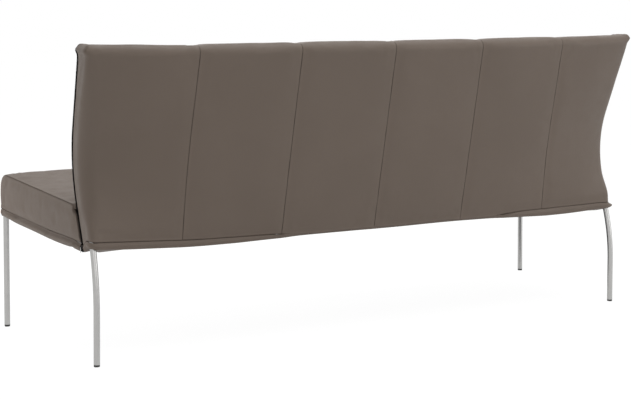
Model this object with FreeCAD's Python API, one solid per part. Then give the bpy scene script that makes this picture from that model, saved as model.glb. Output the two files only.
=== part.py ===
import FreeCAD, Part
import math
import os

# Dining sofa on four slim steel legs, with an S-shaped back and a zipped leather cover.
# Millimetres. +X runs along the length, the sitter faces -Y, +Z is up.
# The origin is on the floor under the middle of the sofa.

V = FreeCAD.Vector
os.makedirs("parts", exist_ok=True)

# Whole sofa
HEIGHT = 897.0
SEAT_HEIGHT = 483.0
REAR_FOOT_Y = 275.0
FOOT_SPACING = 613.0

# Steel tube of the legs
TUBE_RADIUS = 9.0
TUBE_WALL = 2.0
FRONT_FOOT_X = 1008.5
REAR_FOOT_X = 925.0
LEG_SPLAY_DEG = 1.14
LEG_BEND_HEIGHT = 234.0
LEG_BEND_RADIUS = 550.0
LEG_LEAN_DEG = 18.0
LUMBAR_HEIGHT = 568.0
LUMBAR_RADIUS = 320.0
BACK_LEAN_DEG = 19.8
TUBE_TOP_DROP = 17.0

# Foot glides
GLIDE_HEIGHT = 6.0
GLIDE_EDGE = 0.8
GLIDE_PLUG_LENGTH = 14.0

# Seat frame of flat bars, tilted with the underside of the seat
BASE_HEIGHT = 329.5
SEAT_BASE_TILT_DEG = 3.8
BAR_THICKNESS = 8.0
BAR_HEIGHT = 30.0
BAR_LIFT = 6.0
SIDE_BAR_INSET = 4.0
CROSS_BAR_HEIGHT = 18.0
CROSS_BAR_SPACING = 470.0
FRONT_BAR_SETBACK = 5.0
REAR_BAR_FORWARD = 66.0
WEB_THICKNESS = 1.8
WEB_WIDTH = 60.0
SEAT_WEB_COUNT = 12
WELD_GAP = 0.3

# Back frame between the bent tubes
RAIL_RADIUS = 8.0
LOWER_RAIL_HEIGHT = 398.0
TOP_RAIL_DROP = 32.0
UPRIGHT_THICKNESS = 6.0
UPRIGHT_WIDTH = 25.0
UPRIGHT_SPACING = 470.0
BACK_WEB_COUNT = 6
BACK_WEB_WIDTH = 45.0

# Leather and foam
LEATHER = 1.6
CLEARANCE = 0.3
SEAM_HALF_GAP = 0.3
SEAM_SPACING_BOTTOM = 324.0
SEAM_SPACING_TOP = 316.0
PANELS_PER_SIDE = 3

# Outline of the back
BACK_HALF_BOTTOM = 930.0
BACK_HALF_TOP = 946.0
ZIP_KNEE_FORWARD = 94.7
ZIP_KNEE_HEIGHT = 362.0
ZIP_KNEE_RADIUS = 150.0
ZIP_FOOT_LEAN_DEG = 9.6
ZIP_LUMBAR_HEIGHT = 546.0
ZIP_LUMBAR_RADIUS = 328.0
SIDE_DEPTH = 78.0
REAR_CORNER_RADIUS = 25.0
FRONT_EDGE_RADIUS = 8.0
REAR_BOTTOM_FORWARD = 43.0
REAR_TOP_BACK = 84.0
BACK_ROLL_RADIUS = 27.0
ROLL_ANGLES_DEG = (28, 52, 72, 88)
REAR_PANEL_CROWN = 2.5
FRONT_PANEL_CROWN = 4.0
LUMBAR_CROWN = 8.0
TOP_HOLLOW = 20.0
END_CURVE_POWER_SHARE = 5.0

# Outline of the seat
SEAT_TILT_DEG = 5.4
FRONT_FACE_GAP = 12.0
SIDE_FACE_GAP = 11.5
ZIP_SIDE_GAP = 3.5
FRONT_ROLL_RADIUS = 40.0
FRONT_FACE_CROWN = 4.0
SEAT_CROWN = 8.0
SEAT_PANEL_CROWN = 2.5
SIDE_PUFF = 4.0

# Band round the underside
BAND_HEIGHT = 18.0
BAND_PROUD = 1.5
BAND_THICKNESS = 2.4
BAND_FLANGE = 34.0
BAND_EDGE_RADIUS = 6.0
CORNER_RADIUS = 12.0
BASE_COVER_THICKNESS = 1.0

# Zips at both ends
ZIP_WIDTH = 5.0
ZIP_THICKNESS = 1.4
ZIP_TOP_HEIGHT = 884.0
ZIP_END_HEIGHT = 324.0
SLIDER_LENGTH = 11.0
SLIDER_WIDTH = 8.0
SLIDER_THICKNESS = 3.6
EYE_RADIUS = 1.5
PIN_RADIUS = 0.8
PULL_LENGTH = 15.0
PULL_WIDTH = 4.6
PULL_THICKNESS = 1.2
PULL_GAP = 0.25

# A cut runs this far past what it cuts
OVERRUN = 40.0

FRONT_FOOT_Y = REAR_FOOT_Y - FOOT_SPACING
ZIP_KNEE_Y = REAR_FOOT_Y - ZIP_KNEE_FORWARD
REAR_BOTTOM_Y = REAR_FOOT_Y - REAR_BOTTOM_FORWARD
REAR_TOP_Y = REAR_FOOT_Y + REAR_TOP_BACK
TILT = math.radians(SEAT_TILT_DEG)
SPLAY = math.radians(LEG_SPLAY_DEG)


def tan_deg(angle):
    return math.tan(math.radians(angle))


def line(a, b):
    return Part.LineSegment(a, b).toShape()


def arc(a, m, b):
    return Part.Arc(a, m, b).toShape()


def largest(shape):
    return max(shape.Solids, key=lambda solid: solid.Volume)


def export(shape, node):
    shape.exportStep("parts/" + node + ".step")


def box(x0, x1, y0, y1, z0, z1):
    return Part.makeBox(x1 - x0, y1 - y0, z1 - z0, V(x0, y0, z0))


# Paths in the YZ plane: straight runs joined by tangent arcs
def shifted(corners, offset):
    """Corner points moved sideways; a positive offset goes to the rear of a rising path."""
    normals = []
    for (y0, z0), (y1, z1) in zip(corners, corners[1:]):
        length = math.hypot(y1 - y0, z1 - z0)
        normals.append(((z1 - z0) / length, -(y1 - y0) / length))
    moved = []
    for i, (y, z) in enumerate(corners):
        a = normals[max(i - 1, 0)]
        b = normals[min(i, len(normals) - 1)]
        share = offset / (1 + a[0] * b[0] + a[1] * b[1])
        moved.append((y + share * (a[0] + b[0]), z + share * (a[1] + b[1])))
    return moved


def path_edges(corners, radii):
    """Edges from the first to the last corner, each inner corner rounded by its radius."""
    edges = []
    last = V(0, corners[0][0], corners[0][1])
    for i in range(1, len(corners) - 1):
        here = V(0, corners[i][0], corners[i][1])
        before = (V(0, corners[i - 1][0], corners[i - 1][1]) - here).normalize()
        after = (V(0, corners[i + 1][0], corners[i + 1][1]) - here).normalize()
        half = before.getAngle(after) / 2
        reach = radii[i - 1] / math.tan(half)
        middle = (before + after).normalize()
        start = here + before * reach
        end = here + after * reach
        top = here + middle * (radii[i - 1] / math.sin(half) - radii[i - 1])
        edges.append(line(last, start))
        edges.append(arc(start, top, end))
        last = end
    edges.append(line(last, V(0, corners[-1][0], corners[-1][1])))
    return edges


def path_y(corners, radii, z):
    """Place of a rounded path at one height."""
    for i in range(1, len(corners) - 1):
        y, zc = corners[i]
        slope_in = (y - corners[i - 1][0]) / (zc - corners[i - 1][1])
        slope_out = (corners[i + 1][0] - y) / (corners[i + 1][1] - zc)
        a = math.atan(slope_in)
        b = math.atan(slope_out)
        radius = radii[i - 1]
        reach = radius * math.tan(abs(b - a) / 2)
        if z < zc - reach * math.cos(a):
            return y + slope_in * (z - zc)
        if z <= zc + reach * math.cos(b):
            side = math.copysign(1, b - a)
            z0 = zc - reach * math.cos(a)
            y0 = y - reach * math.sin(a)
            centre_y = y0 + side * radius * math.cos(a)
            centre_z = z0 - side * radius * math.sin(a)
            return centre_y - side * math.sqrt(radius ** 2 - (z - centre_z) ** 2)
    y, zc = corners[-2]
    return y + (corners[-1][0] - y) / (corners[-1][1] - zc) * (z - zc)


def leg_corners():
    lumbar_y = REAR_FOOT_Y - (LUMBAR_HEIGHT - LEG_BEND_HEIGHT) * tan_deg(LEG_LEAN_DEG)
    top = HEIGHT - TUBE_TOP_DROP
    top_y = lumbar_y + (top - LUMBAR_HEIGHT) * tan_deg(BACK_LEAN_DEG)
    return [(REAR_FOOT_Y, GLIDE_HEIGHT), (REAR_FOOT_Y, LEG_BEND_HEIGHT),
            (lumbar_y, LUMBAR_HEIGHT), (top_y, top)]


def zip_corners():
    low = BASE_HEIGHT - OVERRUN
    high = HEIGHT + OVERRUN
    foot_y = ZIP_KNEE_Y + (ZIP_KNEE_HEIGHT - low) * tan_deg(ZIP_FOOT_LEAN_DEG)
    lumbar_y = ZIP_KNEE_Y - (ZIP_LUMBAR_HEIGHT - ZIP_KNEE_HEIGHT) * tan_deg(BACK_LEAN_DEG)
    top_y = lumbar_y + (high - ZIP_LUMBAR_HEIGHT) * tan_deg(BACK_LEAN_DEG)
    return [(foot_y, low), (ZIP_KNEE_Y, ZIP_KNEE_HEIGHT), (lumbar_y, ZIP_LUMBAR_HEIGHT), (top_y, high)]


LEG_PATH = leg_corners()
LEG_RADII = [LEG_BEND_RADIUS, LUMBAR_RADIUS]
ZIP_PATH = zip_corners()
ZIP_RADII = [ZIP_KNEE_RADIUS, ZIP_LUMBAR_RADIUS]


def leg_y(z):
    return path_y(LEG_PATH, LEG_RADII, z)


def zip_y(z):
    return path_y(ZIP_PATH, ZIP_RADII, z)


def path_radii(radii, offset):
    """Radii of a shifted path: the first bend turns about a point in front, the second about one behind."""
    return [radii[0] + offset, radii[1] - offset]


def leg_x(foot_x, z):
    return foot_x - z * math.tan(SPLAY)


# Half-spaces and slabs used as cutters
def wall_prism(edges, y_far, half_length):
    """Solid between a path and a far plane, as long as the sofa."""
    a = edges[0].Vertexes[0].Point
    b = edges[-1].Vertexes[-1].Point
    closing = [line(b, V(0, y_far, b.z)), line(V(0, y_far, b.z), V(0, y_far, a.z)), line(V(0, y_far, a.z), a)]
    face = Part.Face(Part.Wire(edges + closing))
    face.translate(V(-half_length, 0, 0))
    return face.extrude(V(2 * half_length, 0, 0))


def in_front_of_zip(clear):
    corners = shifted(ZIP_PATH, -clear)
    return wall_prism(path_edges(corners, path_radii(ZIP_RADII, -clear)), 2 * FRONT_FOOT_Y, 2 * FRONT_FOOT_X)


def behind_zip(clear):
    corners = shifted(ZIP_PATH, clear)
    return wall_prism(path_edges(corners, path_radii(ZIP_RADII, clear)), 3 * REAR_FOOT_Y, 2 * FRONT_FOOT_X)


def leg_sheet(offset, low, high):
    """The line of the bent tubes, moved by an offset and cut to a stretch of heights."""
    corners = [(y, z) for y, z in LEG_PATH]
    (ya, za), (yb, zb) = corners[-2], corners[-1]
    corners[-1] = (yb + (yb - ya) / (zb - za) * OVERRUN, zb + OVERRUN)
    corners = shifted(corners, offset)
    return path_edges(corners, path_radii(LEG_RADII, offset))


def in_front_of_leg(offset):
    return wall_prism(leg_sheet(-offset, 0, HEIGHT), 2 * FRONT_FOOT_Y, 2 * FRONT_FOOT_X)


def behind_leg(offset):
    return wall_prism(leg_sheet(offset, 0, HEIGHT), 3 * REAR_FOOT_Y, 2 * FRONT_FOOT_X)


def panel_prism(index):
    """Space between two seams of the back and the seat; the outer panels run past the ends."""
    def seam_x(k, z_bottom):
        spacing = SEAM_SPACING_BOTTOM if z_bottom else SEAM_SPACING_TOP
        if abs(k) == PANELS_PER_SIDE:
            return math.copysign(2 * FRONT_FOOT_X, k)
        return k * spacing
    low = BASE_HEIGHT - OVERRUN
    high = HEIGHT + OVERRUN
    a, b = index - PANELS_PER_SIDE, index - PANELS_PER_SIDE + 1
    gap = SEAM_HALF_GAP
    pts = [V(seam_x(a, True) + gap, 0, low), V(seam_x(b, True) - gap, 0, low),
           V(seam_x(b, False) - gap, 0, high), V(seam_x(a, False) + gap, 0, high)]
    face = Part.Face(Part.makePolygon(pts + pts[:1]))
    face.translate(V(0, 2 * FRONT_FOOT_Y, 0))
    return face.extrude(V(0, 3 * FOOT_SPACING, 0))


# The back: plan outlines at several heights, lofted upwards
def seam_spacing(z):
    share = (z - BASE_HEIGHT) / (HEIGHT - BASE_HEIGHT)
    return SEAM_SPACING_BOTTOM + share * (SEAM_SPACING_TOP - SEAM_SPACING_BOTTOM)


def back_half(z):
    share = (z - BASE_HEIGHT) / (HEIGHT - BASE_HEIGHT)
    return BACK_HALF_BOTTOM + share * (BACK_HALF_TOP - BACK_HALF_BOTTOM)


def rear_y(x, z):
    share = (z - BASE_HEIGHT) / (HEIGHT - BASE_HEIGHT)
    middle = REAR_BOTTOM_Y + share * (REAR_TOP_Y - REAR_BOTTOM_Y)
    end = zip_y(z) + SIDE_DEPTH
    return middle + (end - middle) * (abs(x) / back_half(z)) ** END_CURVE_POWER_SHARE


def lumbar_rise(z):
    return max(0, z - ZIP_LUMBAR_HEIGHT) / (HEIGHT - ZIP_LUMBAR_HEIGHT)


def front_y(x, z):
    crown = LUMBAR_CROWN - lumbar_rise(z) * (LUMBAR_CROWN + TOP_HOLLOW)
    return zip_y(z) - FRONT_EDGE_RADIUS - crown * (1 - (x / back_half(z)) ** 2)


def front_cover_space(clear):
    """Space in front of the seam between the back's two covers, which bows back along the top."""
    low = BASE_HEIGHT - OVERRUN
    high = HEIGHT + OVERRUN
    rise_shares = (0, 0.1, 0.15, 0.2, 0.26, 0.32, 0.38, 0.44, 0.5, 0.56, 0.65, 0.78, 0.9, 1)
    far_x = 2 * FRONT_FOOT_X
    far_y = 2 * FRONT_FOOT_Y
    wires = []
    for share in rise_shares:
        z = low + share * (high - low)
        half = back_half(z)
        y = zip_y(z) - clear
        bow = max(lumbar_rise(z) * TOP_HOLLOW, CLEARANCE / 5)
        wires.append(Part.Wire([
            line(V(-far_x, far_y, z), V(far_x, far_y, z)), line(V(far_x, far_y, z), V(far_x, y, z)),
            line(V(far_x, y, z), V(half, y, z)), arc(V(half, y, z), V(0, y + bow, z), V(-half, y, z)),
            line(V(-half, y, z), V(-far_x, y, z)), line(V(-far_x, y, z), V(-far_x, far_y, z))]))
    return Part.makeLoft(wires, True, False)


def back_section(z, inset):
    """Closed plan outline of the back at one height, inside its surface by inset."""
    half = back_half(z) - inset
    corner = max(REAR_CORNER_RADIUS - inset, REAR_CORNER_RADIUS / 5)
    lip = max(FRONT_EDGE_RADIUS - inset, FRONT_EDGE_RADIUS / 5)
    step = seam_spacing(z)
    seams = [k * step for k in range(1 - PANELS_PER_SIDE, PANELS_PER_SIDE)]
    edges = []

    def rear(x, bulge):
        return V(x, rear_y(x, z) - inset + bulge, z)

    def front(x, bulge):
        return V(x, front_y(x, z) + inset - bulge, z)

    stops = [corner - half] + seams + [half - corner]
    for a, b in zip(stops, stops[1:]):
        edges.append(arc(rear(a, 0), rear((a + b) / 2, REAR_PANEL_CROWN), rear(b, 0)))
    shoulder = rear(half - corner, 0)
    turn = corner * (1 - math.sqrt(0.5))
    side_rear = V(half, shoulder.y - corner, z)
    edges.append(arc(shoulder, V(half - turn, shoulder.y - turn, z), side_rear))
    edge = front(half - lip, 0)
    side_front = V(half, edge.y + lip, z)
    edges.append(line(side_rear, side_front))
    turn = lip * (1 - math.sqrt(0.5))
    edges.append(arc(side_front, V(half - turn, edge.y + turn, z), edge))
    stops = [half - lip] + seams[::-1] + [lip - half]
    for a, b in zip(stops, stops[1:]):
        edges.append(arc(front(a, 0), front((a + b) / 2, FRONT_PANEL_CROWN), front(b, 0)))
    edges.append(arc(V(-edge.x, edge.y, z), V(turn - half, edge.y + turn, z), V(-half, side_front.y, z)))
    edges.append(line(V(-half, side_front.y, z), V(-half, side_rear.y, z)))
    turn = corner * (1 - math.sqrt(0.5))
    edges.append(arc(V(-half, side_rear.y, z), V(turn - half, shoulder.y - turn, z), V(-shoulder.x, shoulder.y, z)))
    return Part.Wire(edges)


def back_volume(inset, drop):
    """The back as one closed solid, inside its surface by inset; its foot is lower by drop."""
    roll = BACK_ROLL_RADIUS - inset
    roll_base = HEIGHT - BACK_ROLL_RADIUS
    foot = BASE_HEIGHT - BAND_HEIGHT - drop
    wires = [back_section(foot, inset)]
    rise_shares = (0.08, 0.15, 0.22, 0.30, 0.37, 0.44, 0.51, 0.58, 0.66, 0.76, 0.88, 1.0)
    for share in rise_shares:
        wires.append(back_section(foot + share * (roll_base - foot), inset))
    for angle in ROLL_ANGLES_DEG:
        a = math.radians(angle)
        wires.append(back_section(roll_base + roll * math.sin(a), inset + roll * (1 - math.cos(a))))
    return Part.makeLoft(wires, True, False)


# The seat: sections across the length, one loft per panel
def seat_top_z(y):
    return SEAT_HEIGHT - (y - (FRONT_FOOT_Y + FRONT_ROLL_RADIUS)) * math.tan(TILT)


def base_z(y):
    return BASE_HEIGHT - y * tan_deg(SEAT_BASE_TILT_DEG)


def seat_section(x, inset, bulge):
    """Closed profile of the seat at one place along its length."""
    rise = SEAT_CROWN * (1 - (x / FRONT_FOOT_X) ** 2) + bulge - inset
    face = FRONT_FOOT_Y - FRONT_FACE_GAP + inset - bulge
    radius = FRONT_ROLL_RADIUS - inset
    centre_y = face + radius
    centre_z = seat_top_z(centre_y) + rise - radius / math.cos(TILT)
    rear = REAR_FOOT_Y - SIDE_DEPTH / 2
    low = base_z(face) + inset
    middle = (math.pi / 2 - TILT) / 2
    start = V(x, centre_y + radius * math.sin(TILT), centre_z + radius * math.cos(TILT))
    top_mid = V(x, centre_y - radius * math.sin(middle), centre_z + radius * math.cos(middle))
    end = V(x, centre_y - radius, centre_z)
    foot = V(x, face, low)
    belly = V(x, face - FRONT_FACE_CROWN, (centre_z + low) / 2)
    rear_top = V(x, rear, start.z - (rear - start.y) * math.tan(TILT))
    rear_low = V(x, rear, base_z(rear) + inset)
    edges = [line(rear_low, rear_top), line(rear_top, start), arc(start, top_mid, end),
             arc(end, belly, foot), line(foot, rear_low)]
    return Part.Wire(edges)


def seat_stops():
    stops = [k * SEAM_SPACING_BOTTOM for k in range(1 - PANELS_PER_SIDE, PANELS_PER_SIDE)]
    past = FRONT_FOOT_X + OVERRUN
    return [-past] + stops + [past]


def seat_panel_volume(index, inset):
    stops = seat_stops()
    a, b = stops[index], stops[index + 1]
    wires = [seat_section(a, inset, 0), seat_section((a + b) / 2, inset, SEAT_PANEL_CROWN), seat_section(b, inset, 0)]
    return Part.makeLoft(wires, True, False)


def side_line():
    """Two plan points of the seat's right side: at the zip and at the front leg."""
    zip_place = zip_y(BASE_HEIGHT)
    rear = (back_half(BASE_HEIGHT) + ZIP_SIDE_GAP, zip_place)
    front = (leg_x(FRONT_FOOT_X, base_z(FRONT_FOOT_Y)) + SIDE_FACE_GAP, FRONT_FOOT_Y)
    return rear, front


def side_x(y):
    (xr, yr), (xf, yf) = side_line()
    return xr + (y - yr) * (xf - xr) / (yf - yr)


def seat_plan(inset):
    """Prism over the seat's plan, inside its sides by inset."""
    front = FRONT_FOOT_Y - OVERRUN
    rear = REAR_FOOT_Y
    pts = [V(side_x(front) - inset, front, 0), V(side_x(rear) - inset, rear, 0),
           V(inset - side_x(rear), rear, 0), V(inset - side_x(front), front, 0)]
    return Part.Face(Part.makePolygon(pts + pts[:1])).extrude(V(0, 0, HEIGHT))


def tilted(shape):
    """Move a piece modelled flat on the base plane to its real tilt and height."""
    shape.rotate(V(0, 0, 0), V(1, 0, 0), -SEAT_BASE_TILT_DEG)
    shape.translate(V(0, 0, BASE_HEIGHT))
    return shape


def above_base(lift):
    """Everything higher than the base plane by lift."""
    far = 2 * FRONT_FOOT_X
    return tilted(box(-far, far, -far, far, lift, lift + HEIGHT))


# Legs and glides
def swept_tube(edges, radius):
    start = edges[0].Vertexes[0].Point
    direction = (edges[0].Vertexes[-1].Point - start).normalize()
    circle = Part.Wire(Part.makeCircle(radius, start, direction))
    return Part.Wire(edges).makePipeShell([circle], True, False)


def rear_leg_outer(radius):
    shape = swept_tube(path_edges(LEG_PATH, LEG_RADII), radius)
    shape.rotate(V(0, REAR_FOOT_Y, 0), V(0, 1, 0), -LEG_SPLAY_DEG)
    shape.translate(V(REAR_FOOT_X, 0, 0))
    return shape


def front_leg_outer(radius):
    top = base_z(FRONT_FOOT_Y) + BAR_LIFT + BAR_HEIGHT
    shape = Part.makeCylinder(radius, top - GLIDE_HEIGHT, V(0, FRONT_FOOT_Y, GLIDE_HEIGHT), V(0, 0, 1))
    shape.rotate(V(0, FRONT_FOOT_Y, 0), V(0, 1, 0), -LEG_SPLAY_DEG)
    shape.translate(V(FRONT_FOOT_X, 0, 0))
    return shape


def foot_glide(x, y):
    inner = TUBE_RADIUS - TUBE_WALL
    collar = Part.makeCone(TUBE_RADIUS - GLIDE_EDGE, TUBE_RADIUS - GLIDE_EDGE / 4, 2 * GLIDE_HEIGHT,
                           V(0, 0, -GLIDE_HEIGHT), V(0, 0, 1))
    plug = Part.makeCylinder(inner - CLEARANCE / 3, GLIDE_PLUG_LENGTH, V(0, 0, GLIDE_HEIGHT), V(0, 0, 1))
    shape = collar.fuse(plug)
    shape.rotate(V(0, 0, 0), V(0, 1, 0), -LEG_SPLAY_DEG)
    shape.translate(V(x, y, 0))
    reach = 2 * TUBE_RADIUS
    above = box(x - reach, x + reach, y - reach, y + reach, 0, GLIDE_HEIGHT + 2 * GLIDE_PLUG_LENGTH)
    return shape.common(above)


def mirrored(shape):
    return shape.mirror(V(0, 0, 0), V(1, 0, 0))


def export_pair(shape, name):
    """The shape is the one at the +X end, which is the sitter's left."""
    export(shape, name + "_left")
    export(mirrored(shape), name + "_right")


def make_legs():
    inner = TUBE_RADIUS - TUBE_WALL
    rear = rear_leg_outer(TUBE_RADIUS).cut(rear_leg_outer(inner))
    front = front_leg_outer(TUBE_RADIUS).cut(front_leg_outer(inner))
    export_pair(rear, "rear_leg")
    export_pair(front, "front_leg")
    export_pair(foot_glide(REAR_FOOT_X, REAR_FOOT_Y), "rear_glide")
    export_pair(foot_glide(FRONT_FOOT_X, FRONT_FOOT_Y), "front_glide")


# Seat frame
def rail_ends():
    rear_z = base_z(REAR_FOOT_Y) + BAR_LIFT + BAR_HEIGHT / 2
    front_z = base_z(FRONT_FOOT_Y) + BAR_LIFT + BAR_HEIGHT / 2
    rear = V(leg_x(REAR_FOOT_X, rear_z) - SIDE_BAR_INSET, leg_y(rear_z), 0)
    front = V(leg_x(FRONT_FOOT_X, front_z) - SIDE_BAR_INSET, FRONT_FOOT_Y, 0)
    return rear, front


def side_bar_x(y):
    rear, front = rail_ends()
    return rear.x + (y - rear.y) * (front.x - rear.x) / (front.y - rear.y)


def side_bar():
    rear, front = rail_ends()
    run = (front - rear).normalize()
    across = V(0, 0, 1).cross(run) * (BAR_THICKNESS / 2)
    pts = [rear + across, front + across, front - across, rear - across]
    face = Part.Face(Part.makePolygon(pts + pts[:1]))
    bar = face.extrude(V(0, 0, BAR_HEIGHT))
    bar.translate(V(0, 0, BAR_LIFT))
    bar = tilted(bar)
    grown = TUBE_RADIUS + WELD_GAP
    return largest(bar.cut(rear_leg_outer(grown)).cut(front_leg_outer(grown)))


FRONT_BAR_Y = FRONT_FOOT_Y + FRONT_BAR_SETBACK
REAR_BAR_Y = REAR_FOOT_Y - REAR_BAR_FORWARD


def end_bar(y):
    """A flat bar along the length between the side bars, square to the base plane."""
    reach = side_bar_x(y)
    half = BAR_THICKNESS / 2
    bar = tilted(box(-reach, reach, y - half, y + half, BAR_LIFT, BAR_LIFT + BAR_HEIGHT))
    grown = front_leg_outer(TUBE_RADIUS + WELD_GAP)
    return bar.cut(grown).cut(mirrored(grown))


def seat_web():
    half = BAR_THICKNESS / 2
    low = BAR_LIFT + BAR_HEIGHT
    pitch = 2 * side_bar_x(REAR_BAR_Y) / SEAT_WEB_COUNT
    straps = []
    for i in range(SEAT_WEB_COUNT):
        x = (i - (SEAT_WEB_COUNT - 1) / 2) * pitch
        straps.append(box(x - WEB_WIDTH / 2, x + WEB_WIDTH / 2, FRONT_BAR_Y - half, REAR_BAR_Y + half,
                          low, low + WEB_THICKNESS))
    return tilted(Part.makeCompound(straps))


def make_seat_frame():
    side = side_bar()
    sides_grown = [side, mirrored(side)]
    export_pair(side, "seat_side_bar")
    for node, y in (("seat_front_bar", FRONT_BAR_Y), ("seat_rear_bar", REAR_BAR_Y)):
        bar = end_bar(y)
        for solid in sides_grown:
            bar = bar.cut(solid)
        export(largest(bar), node)
    half = BAR_THICKNESS / 2
    for i in range(-1, 2):
        x = i * CROSS_BAR_SPACING
        cross = tilted(box(x - half, x + half, FRONT_BAR_Y + half, REAR_BAR_Y - half,
                           BAR_LIFT, BAR_LIFT + CROSS_BAR_HEIGHT))
        export(cross, "seat_cross_bar_" + str(i + 2))
    export(seat_web(), "seat_webbing")


# Back frame
def back_rail(z):
    reach = leg_x(REAR_FOOT_X, z)
    rail = Part.makeCylinder(RAIL_RADIUS, 2 * reach, V(-reach, leg_y(z), z), V(1, 0, 0))
    grown = rear_leg_outer(TUBE_RADIUS + WELD_GAP)
    return largest(rail.cut(grown).cut(mirrored(grown)))


TOP_RAIL_HEIGHT = HEIGHT - TOP_RAIL_DROP


def upright(x):
    half = UPRIGHT_THICKNESS / 2
    strip = in_front_of_leg(-half).common(behind_leg(-half))
    low = LOWER_RAIL_HEIGHT
    high = TOP_RAIL_HEIGHT
    wide = UPRIGHT_WIDTH / 2
    piece = strip.common(box(x - wide, x + wide, 2 * FRONT_FOOT_Y, 2 * REAR_FOOT_Y, low, high))
    for z in (low, high):
        start = V(x - 2 * wide, leg_y(z), z)
        piece = piece.cut(Part.makeCylinder(RAIL_RADIUS + WELD_GAP, 4 * wide, start, V(1, 0, 0)))
    return piece


def back_web():
    """Level straps across the front of the uprights, each leaning with the back where it sits."""
    straps = []
    low = LOWER_RAIL_HEIGHT + BACK_WEB_WIDTH
    high = TOP_RAIL_HEIGHT - BACK_WEB_WIDTH
    near = TUBE_RADIUS + WELD_GAP
    for i in range(BACK_WEB_COUNT):
        z = low + i * (high - low) / (BACK_WEB_COUNT - 1)
        reach = leg_x(REAR_FOOT_X, z)
        strap = box(-reach, reach, -near - WEB_THICKNESS, -near, -BACK_WEB_WIDTH / 2, BACK_WEB_WIDTH / 2)
        rise = leg_y(z + BACK_WEB_WIDTH / 2) - leg_y(z - BACK_WEB_WIDTH / 2)
        lean = math.degrees(math.atan2(rise, BACK_WEB_WIDTH))
        strap.rotate(V(0, 0, 0), V(1, 0, 0), -lean)
        strap.translate(V(0, leg_y(z), z))
        straps.append(strap)
    return Part.makeCompound(straps)


def make_back_frame():
    export(back_rail(LOWER_RAIL_HEIGHT), "back_lower_rail")
    export(back_rail(TOP_RAIL_HEIGHT), "back_top_rail")
    for i in range(-1, 2):
        export(upright(i * UPRIGHT_SPACING), "back_upright_" + str(i + 2))
    export(back_web(), "back_webbing")


# Foam
SKIN = LEATHER + CLEARANCE
FOAM_LIFT = BAND_THICKNESS + BASE_COVER_THICKNESS + 2 * CLEARANCE
WEB_TOP = BAR_LIFT + BAR_HEIGHT + WEB_THICKNESS


def seat_core(inset, bulge):
    """The seat as one solid across its whole length."""
    wires = [seat_section(x, inset, bulge) for x in seat_stops()]
    return Part.makeLoft(wires, True, False)


def frame_slab():
    """Space that the back frame and its webbing take between the foams."""
    sag = BACK_WEB_WIDTH ** 2 / (8 * LUMBAR_RADIUS)
    front = TUBE_RADIUS + WEB_THICKNESS + sag + 2 * WELD_GAP
    rear = TUBE_RADIUS + WELD_GAP
    slab = in_front_of_leg(-rear).common(behind_leg(-front))
    far = 2 * FRONT_FOOT_X
    top = HEIGHT - TUBE_TOP_DROP + TUBE_RADIUS
    return slab.common(box(-far, far, -far, far, 0, top))


def make_back_foams(groove):
    core = back_volume(SKIN, BAND_HEIGHT)
    slab = frame_slab()
    seat = seat_core(-CLEARANCE, SEAT_PANEL_CROWN).common(in_front_of_zip(0))
    front = core.common(in_front_of_leg(0)).common(above_base(WEB_TOP + CLEARANCE))
    export(front.cut(seat).cut(slab).cut(groove), "back_front_foam")
    rear = core.common(behind_leg(0)).common(above_base(FOAM_LIFT))
    export(rear.cut(slab).cut(groove).cut(band_space()), "back_rear_foam")


def make_seat_foam(groove):
    core = seat_core(SKIN, 0).common(in_front_of_zip(CLEARANCE)).common(seat_plan(SKIN + CLEARANCE))
    far = 2 * FRONT_FOOT_X
    nose = FRONT_BAR_Y - BAR_THICKNESS / 2 - CLEARANCE
    frame_space = tilted(box(-far, far, nose, far, -far, WEB_TOP + CLEARANCE))
    leg = front_leg_outer(TUBE_RADIUS + CLEARANCE)
    foam = core.cut(frame_space).cut(leg).cut(mirrored(leg)).cut(groove).cut(band_space())
    export(foam.common(above_base(FOAM_LIFT)), "seat_foam")


# Zips: each runs down the end of the sofa between the rear cover and the front cover
def flare(shape):
    """Lean a piece modelled on the plane X=0 to the flare of the back's left end."""
    angle = math.degrees(math.atan2(BACK_HALF_TOP - BACK_HALF_BOTTOM, HEIGHT - BASE_HEIGHT))
    shape.rotate(V(0, 0, BASE_HEIGHT), V(0, 1, 0), angle)
    shape.translate(V(BACK_HALF_BOTTOM, 0, 0))
    return shape


def zip_strip(half_width, x0, x1, low, high):
    """A strip along the zip line, from depth x0 to x1 beside the end of the back."""
    front = path_edges(shifted(ZIP_PATH, -half_width), path_radii(ZIP_RADII, -half_width))
    rear = path_edges(shifted(ZIP_PATH, half_width), path_radii(ZIP_RADII, half_width))
    joins = [line(front[-1].Vertexes[-1].Point, rear[-1].Vertexes[-1].Point),
             line(rear[0].Vertexes[0].Point, front[0].Vertexes[0].Point)]
    face = Part.Face(Part.Wire(Part.__sortEdges__(front + joins + rear)))
    face.translate(V(x0, 0, 0))
    strip = face.extrude(V(x1 - x0, 0, 0))
    far = 2 * FRONT_FOOT_X
    return flare(strip.common(box(-far, far, -far, far, low, high)))


def zip_slot(deep):
    """Space for both zips, from depth deep inside the ends of the back outwards."""
    grown = ZIP_WIDTH / 2 + CLEARANCE
    slot = zip_strip(grown, -deep, REAR_CORNER_RADIUS, BASE_HEIGHT - OVERRUN, ZIP_TOP_HEIGHT + CLEARANCE)
    return slot.fuse(mirrored(slot))


ZIP_FACE = ZIP_THICKNESS - LEATHER
SLIDER_FACE = ZIP_FACE + CLEARANCE + SLIDER_THICKNESS
PIN_OUT = SLIDER_FACE + EYE_RADIUS


def at_slider(shape):
    """Move a piece modelled round the slider's middle to its place on the left zip."""
    z = ZIP_END_HEIGHT
    shape.translate(V(0, zip_y(z), z))
    return flare(shape)


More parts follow.
